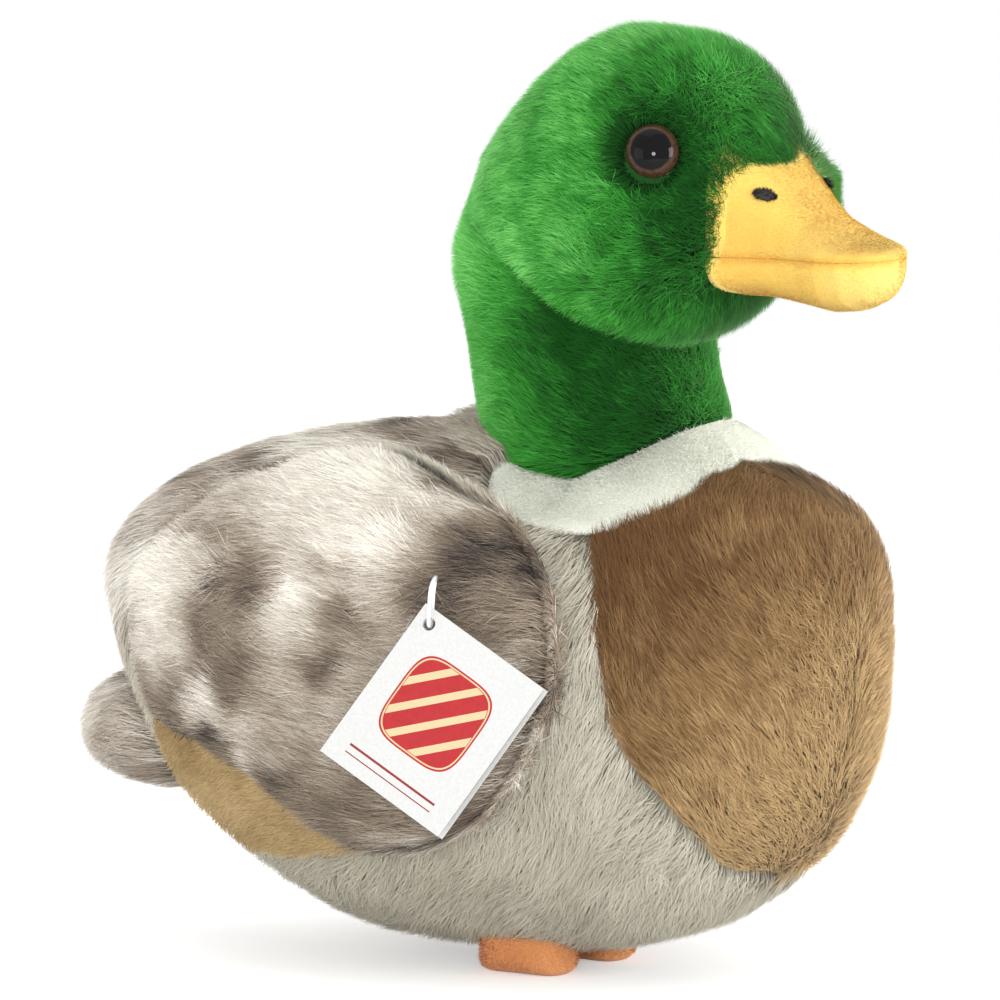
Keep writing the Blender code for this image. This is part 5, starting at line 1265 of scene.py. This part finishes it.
def card_paint(name, hole, fold, across, printed):
    """White card; on the printed leaf a rounded red panel, its stripes, and two rules below it."""
    paint = Paint(name)
    offset = paint.from_point(hole)
    u, v = paint.dot(offset, fold) * 1000.0, paint.dot(offset, across) * 1000.0
    fibre = paint.noise(1500.0, 4.0)
    colour = paint.shades(fibre, (0.3, linear(198, 198, 196)), (0.7, linear(209, 209, 207)))
    if printed:
        along, aside = (u - PANEL_ALONG) / PANEL_HALF, (v - PANEL_ACROSS) / PANEL_HALF
        square = (along * along) ** 2 + (aside * aside) ** 2
        stripe = (((u + v) * 0.12).fraction() < 0.32) * (square < 0.72)
        ring = (square < 0.86) * (square > 0.76)
        red = paint.shades(paint.noise(700.0), (0.3, linear(164, 12, 20)), (0.7, linear(174, 18, 26)))
        colour = paint.mix(square < 1.0, colour, red)
        colour = paint.mix((stripe + ring).clipped(), colour, (*linear(204, 186, 144), 1.0))
        rule = ((u > 34.0) * (u < 34.6) + (u > 36.2) * (u < 36.5)) * (v > 1.5) * (v < 28.0)
        colour = paint.mix(rule, colour, (*linear(136, 32, 26), 1.0))
    return paint.feed(Base_Color=colour, Roughness=0.42 + fibre * 0.15, Normal=paint.bumped(fibre, 0.00005, 0.4))


# %% [markdown]
# The card's own directions come from how it hangs: out is away from the wing, fold runs down the
# folded edge and across runs over the leaf. The front leaf is turned about the fold.

# %% Tag
azimuth, lean_out, opening = (math.radians(v) for v in (70.0, 16.0, 5.0))
TAG_WIDTH, TAG_HEIGHT, HOLE_IN, HOLE_DOWN = 0.037, 0.0435, 0.0038, 0.0036


def looking_from(azimuth, elevation):
    """The unit vector from the middle to a place round from the front towards the right, and up."""
    flat = math.cos(elevation)
    return np.array([-math.sin(azimuth) * flat, -math.cos(azimuth) * flat, math.sin(elevation)])


tag_out = looking_from(azimuth, lean_out)
tag_down = unit(-UP - (-UP @ tag_out) * tag_out)
tag_rear = np.cross(tag_down, tag_out)
tag_rear *= np.sign(tag_rear[1])
swing = next(joint for joint in frame["record"]["behaviour"]["joints"] if joint["name"] == "tag_swing")
hole = np.array(swing["pos_m"])
lean = math.atan2(TAG_WIDTH / 2 - HOLE_IN, TAG_HEIGHT / 2 - HOLE_DOWN) - math.radians(6.0)
fold = math.cos(lean) * tag_down + math.sin(lean) * tag_rear
across = math.sin(lean) * tag_down - math.cos(lean) * tag_rear
turning = fold * np.sign(np.cross(fold, across) @ tag_out)
leaf_across = across * math.cos(opening) + np.cross(turning, across) * math.sin(opening)


def repaint(name, material):
    """A CAD node keeps its shape and gets a finished material."""
    node = nodes[name]
    if not node.material_slots:
        node.data.materials.append(material)
    for slot in node.material_slots:
        slot.material = material


repaint("tag_back_leaf", card_paint("card_plain", hole, fold, across, False))
repaint("tag_front_leaf", card_paint("card_printed", hole, fold, leaf_across, True))
LOOP_TONES = (0.3, linear(220, 222, 222)), (0.7, linear(240, 241, 241))
repaint("tag_loop", clouded("loop_plastic", 800.0, 2.0, *LOOP_TONES, (0.25, 0.15)))
print("card leans", round(math.degrees(lean), 1), "degrees")

# %% [markdown]
# ## What lies inside
# The filling and the eyes' washers keep their solids' shape. They lie out of sight inside, and they
# get an honest finish all the same: a clouded white fibre, and a moulded plastic.

# %% Inside
FILLING = Paint("polyester_filling", Roughness=0.95)
puff, fine = FILLING.noise(120.0, 5.0), FILLING.noise(900.0, 2.0)
FILLING.feed(
    Base_Color=FILLING.shades(puff, (0.3, linear(216, 216, 212)), (0.7, linear(242, 242, 239))),
    Normal=FILLING.bumped(puff + fine * 0.4, 0.001, 0.7),
)
WASHER_TONES = (0.3, linear(226, 226, 222)), (0.7, linear(238, 238, 235))
WASHER = clouded("washer_plastic", 600.0, 3.0, *WASHER_TONES, (0.35, 0.15))
for name in ("body_stuffing", "head_and_neck_stuffing", "tail_stuffing", "wing_right_wadding", "wing_left_wadding"):
    repaint(name, FILLING.material)
for side in SIDES:
    repaint(f"eye_washer_{side}", WASHER)

# %% [markdown]
# ## Stage, light and camera
# A pale floor fades into a white background: camera, glossy and transmission rays see a little
# glow on it, so that it reaches white where nothing shades it, and the object gets no light from
# it. The lamps are large and soft. The camera stands where the photograph's did: 57 degrees round
# from the front towards the duck's right, 8.5 degrees up.

# %% Stage
def stage_paint():
    paint = Paint("floor_white", Base_Color=(0.9, 0.9, 0.9, 1), Roughness=0.9)
    camera_ray = paint.node("LightPath", {}, {}, 0)
    paths = camera_ray.socket.node.outputs
    mirrored, through = (Wire(paint, paths[name]) for name in ("Is Glossy Ray", "Is Transmission Ray"))
    plain = Wire(paint, paint.shader.outputs[0])
    glow = paint.node("Emission", {}, {"Color": (1, 1, 1, 1), "Strength": 0.36})
    both = paint.node("AddShader", {}, {0: plain, 1: glow})
    chosen = paint.node("MixShader", {}, {0: (camera_ray + mirrored + through).clipped(), 1: plain, 2: both})
    paint.link(chosen, paint.tree.nodes["Material Output"].inputs["Surface"])
    return paint.material


floor_mesh = bpy.data.meshes.new("floor")
floor_mesh.from_pydata([(-0.9, -0.9, 0), (0.9, -0.9, 0), (0.9, 0.9, 0), (-0.9, 0.9, 0)], [], [(0, 1, 2, 3)])
floor_mesh.materials.append(stage_paint())
floor = bpy.data.objects.new("floor", floor_mesh)
bpy.context.scene.collection.objects.link(floor)

world = bpy.data.worlds.new("studio")
bpy.context.scene.world = world
world.use_nodes = True
backdrop = world.node_tree.nodes["Background"]
backdrop.inputs["Color"].default_value = (1, 1, 1, 1)
backdrop.inputs["Strength"].default_value = 1.0


LAMP_TARGET = np.array([0.0, 0.0, 0.11])


def stand(made, place, back):
    """Puts a lamp or camera at a place, with what it looks at straight behind its back direction."""
    side = unit(np.cross(UP, back))
    columns = np.stack([side, np.cross(back, side), back, place], axis=1)
    made.matrix_world = Matrix(np.vstack([columns, [0, 0, 0, 1]]).tolist())
    bpy.context.scene.collection.objects.link(made)


def lamp(name, place, size, power, shape="RECTANGLE"):
    light = bpy.data.lights.new(name, "AREA")
    light.shape, light.size, light.size_y, light.energy = shape, size[0], size[1], power
    stand(bpy.data.objects.new(name, light), np.array(place), -unit(LAMP_TARGET - np.array(place)))


lamp("window", (0.2, -1.35, 0.3), (0.5, 0.7), 11.0)
lamp("overhead", (0.1, 0.2, 1.5), (1.4, 1.4), 3.5)
lamp("fill", (-1.4, 0.5, 0.3), (1.0, 0.8), 2.8)
lamp("flash", (-1.12, -0.72, 0.36), (0.26, 0.26), 5.4, "DISK")

# %% Camera
AZIMUTH, ELEVATION, DISTANCE = math.radians(57), math.radians(8.5), 8.0
AIM = np.array([0.01375, 0.00366, 0.1113])
camera = bpy.data.objects.new("camera", bpy.data.cameras.new("camera"))
camera.data.sensor_width, camera.data.lens = 36.0, 1189.3
camera.data.clip_end = 20.0
camera_back = looking_from(AZIMUTH, ELEVATION)
stand(camera, AIM + DISTANCE * camera_back, camera_back)
bpy.context.scene.camera = camera
bpy.context.scene.view_settings.view_transform = "Standard"

# %% Sizes
meshes = [made.data for made in bpy.data.objects if made.type == "MESH" and made.name != "floor"]
print("triangles", sum(len(mesh.loops) - 2 * len(mesh.polygons) for mesh in meshes))
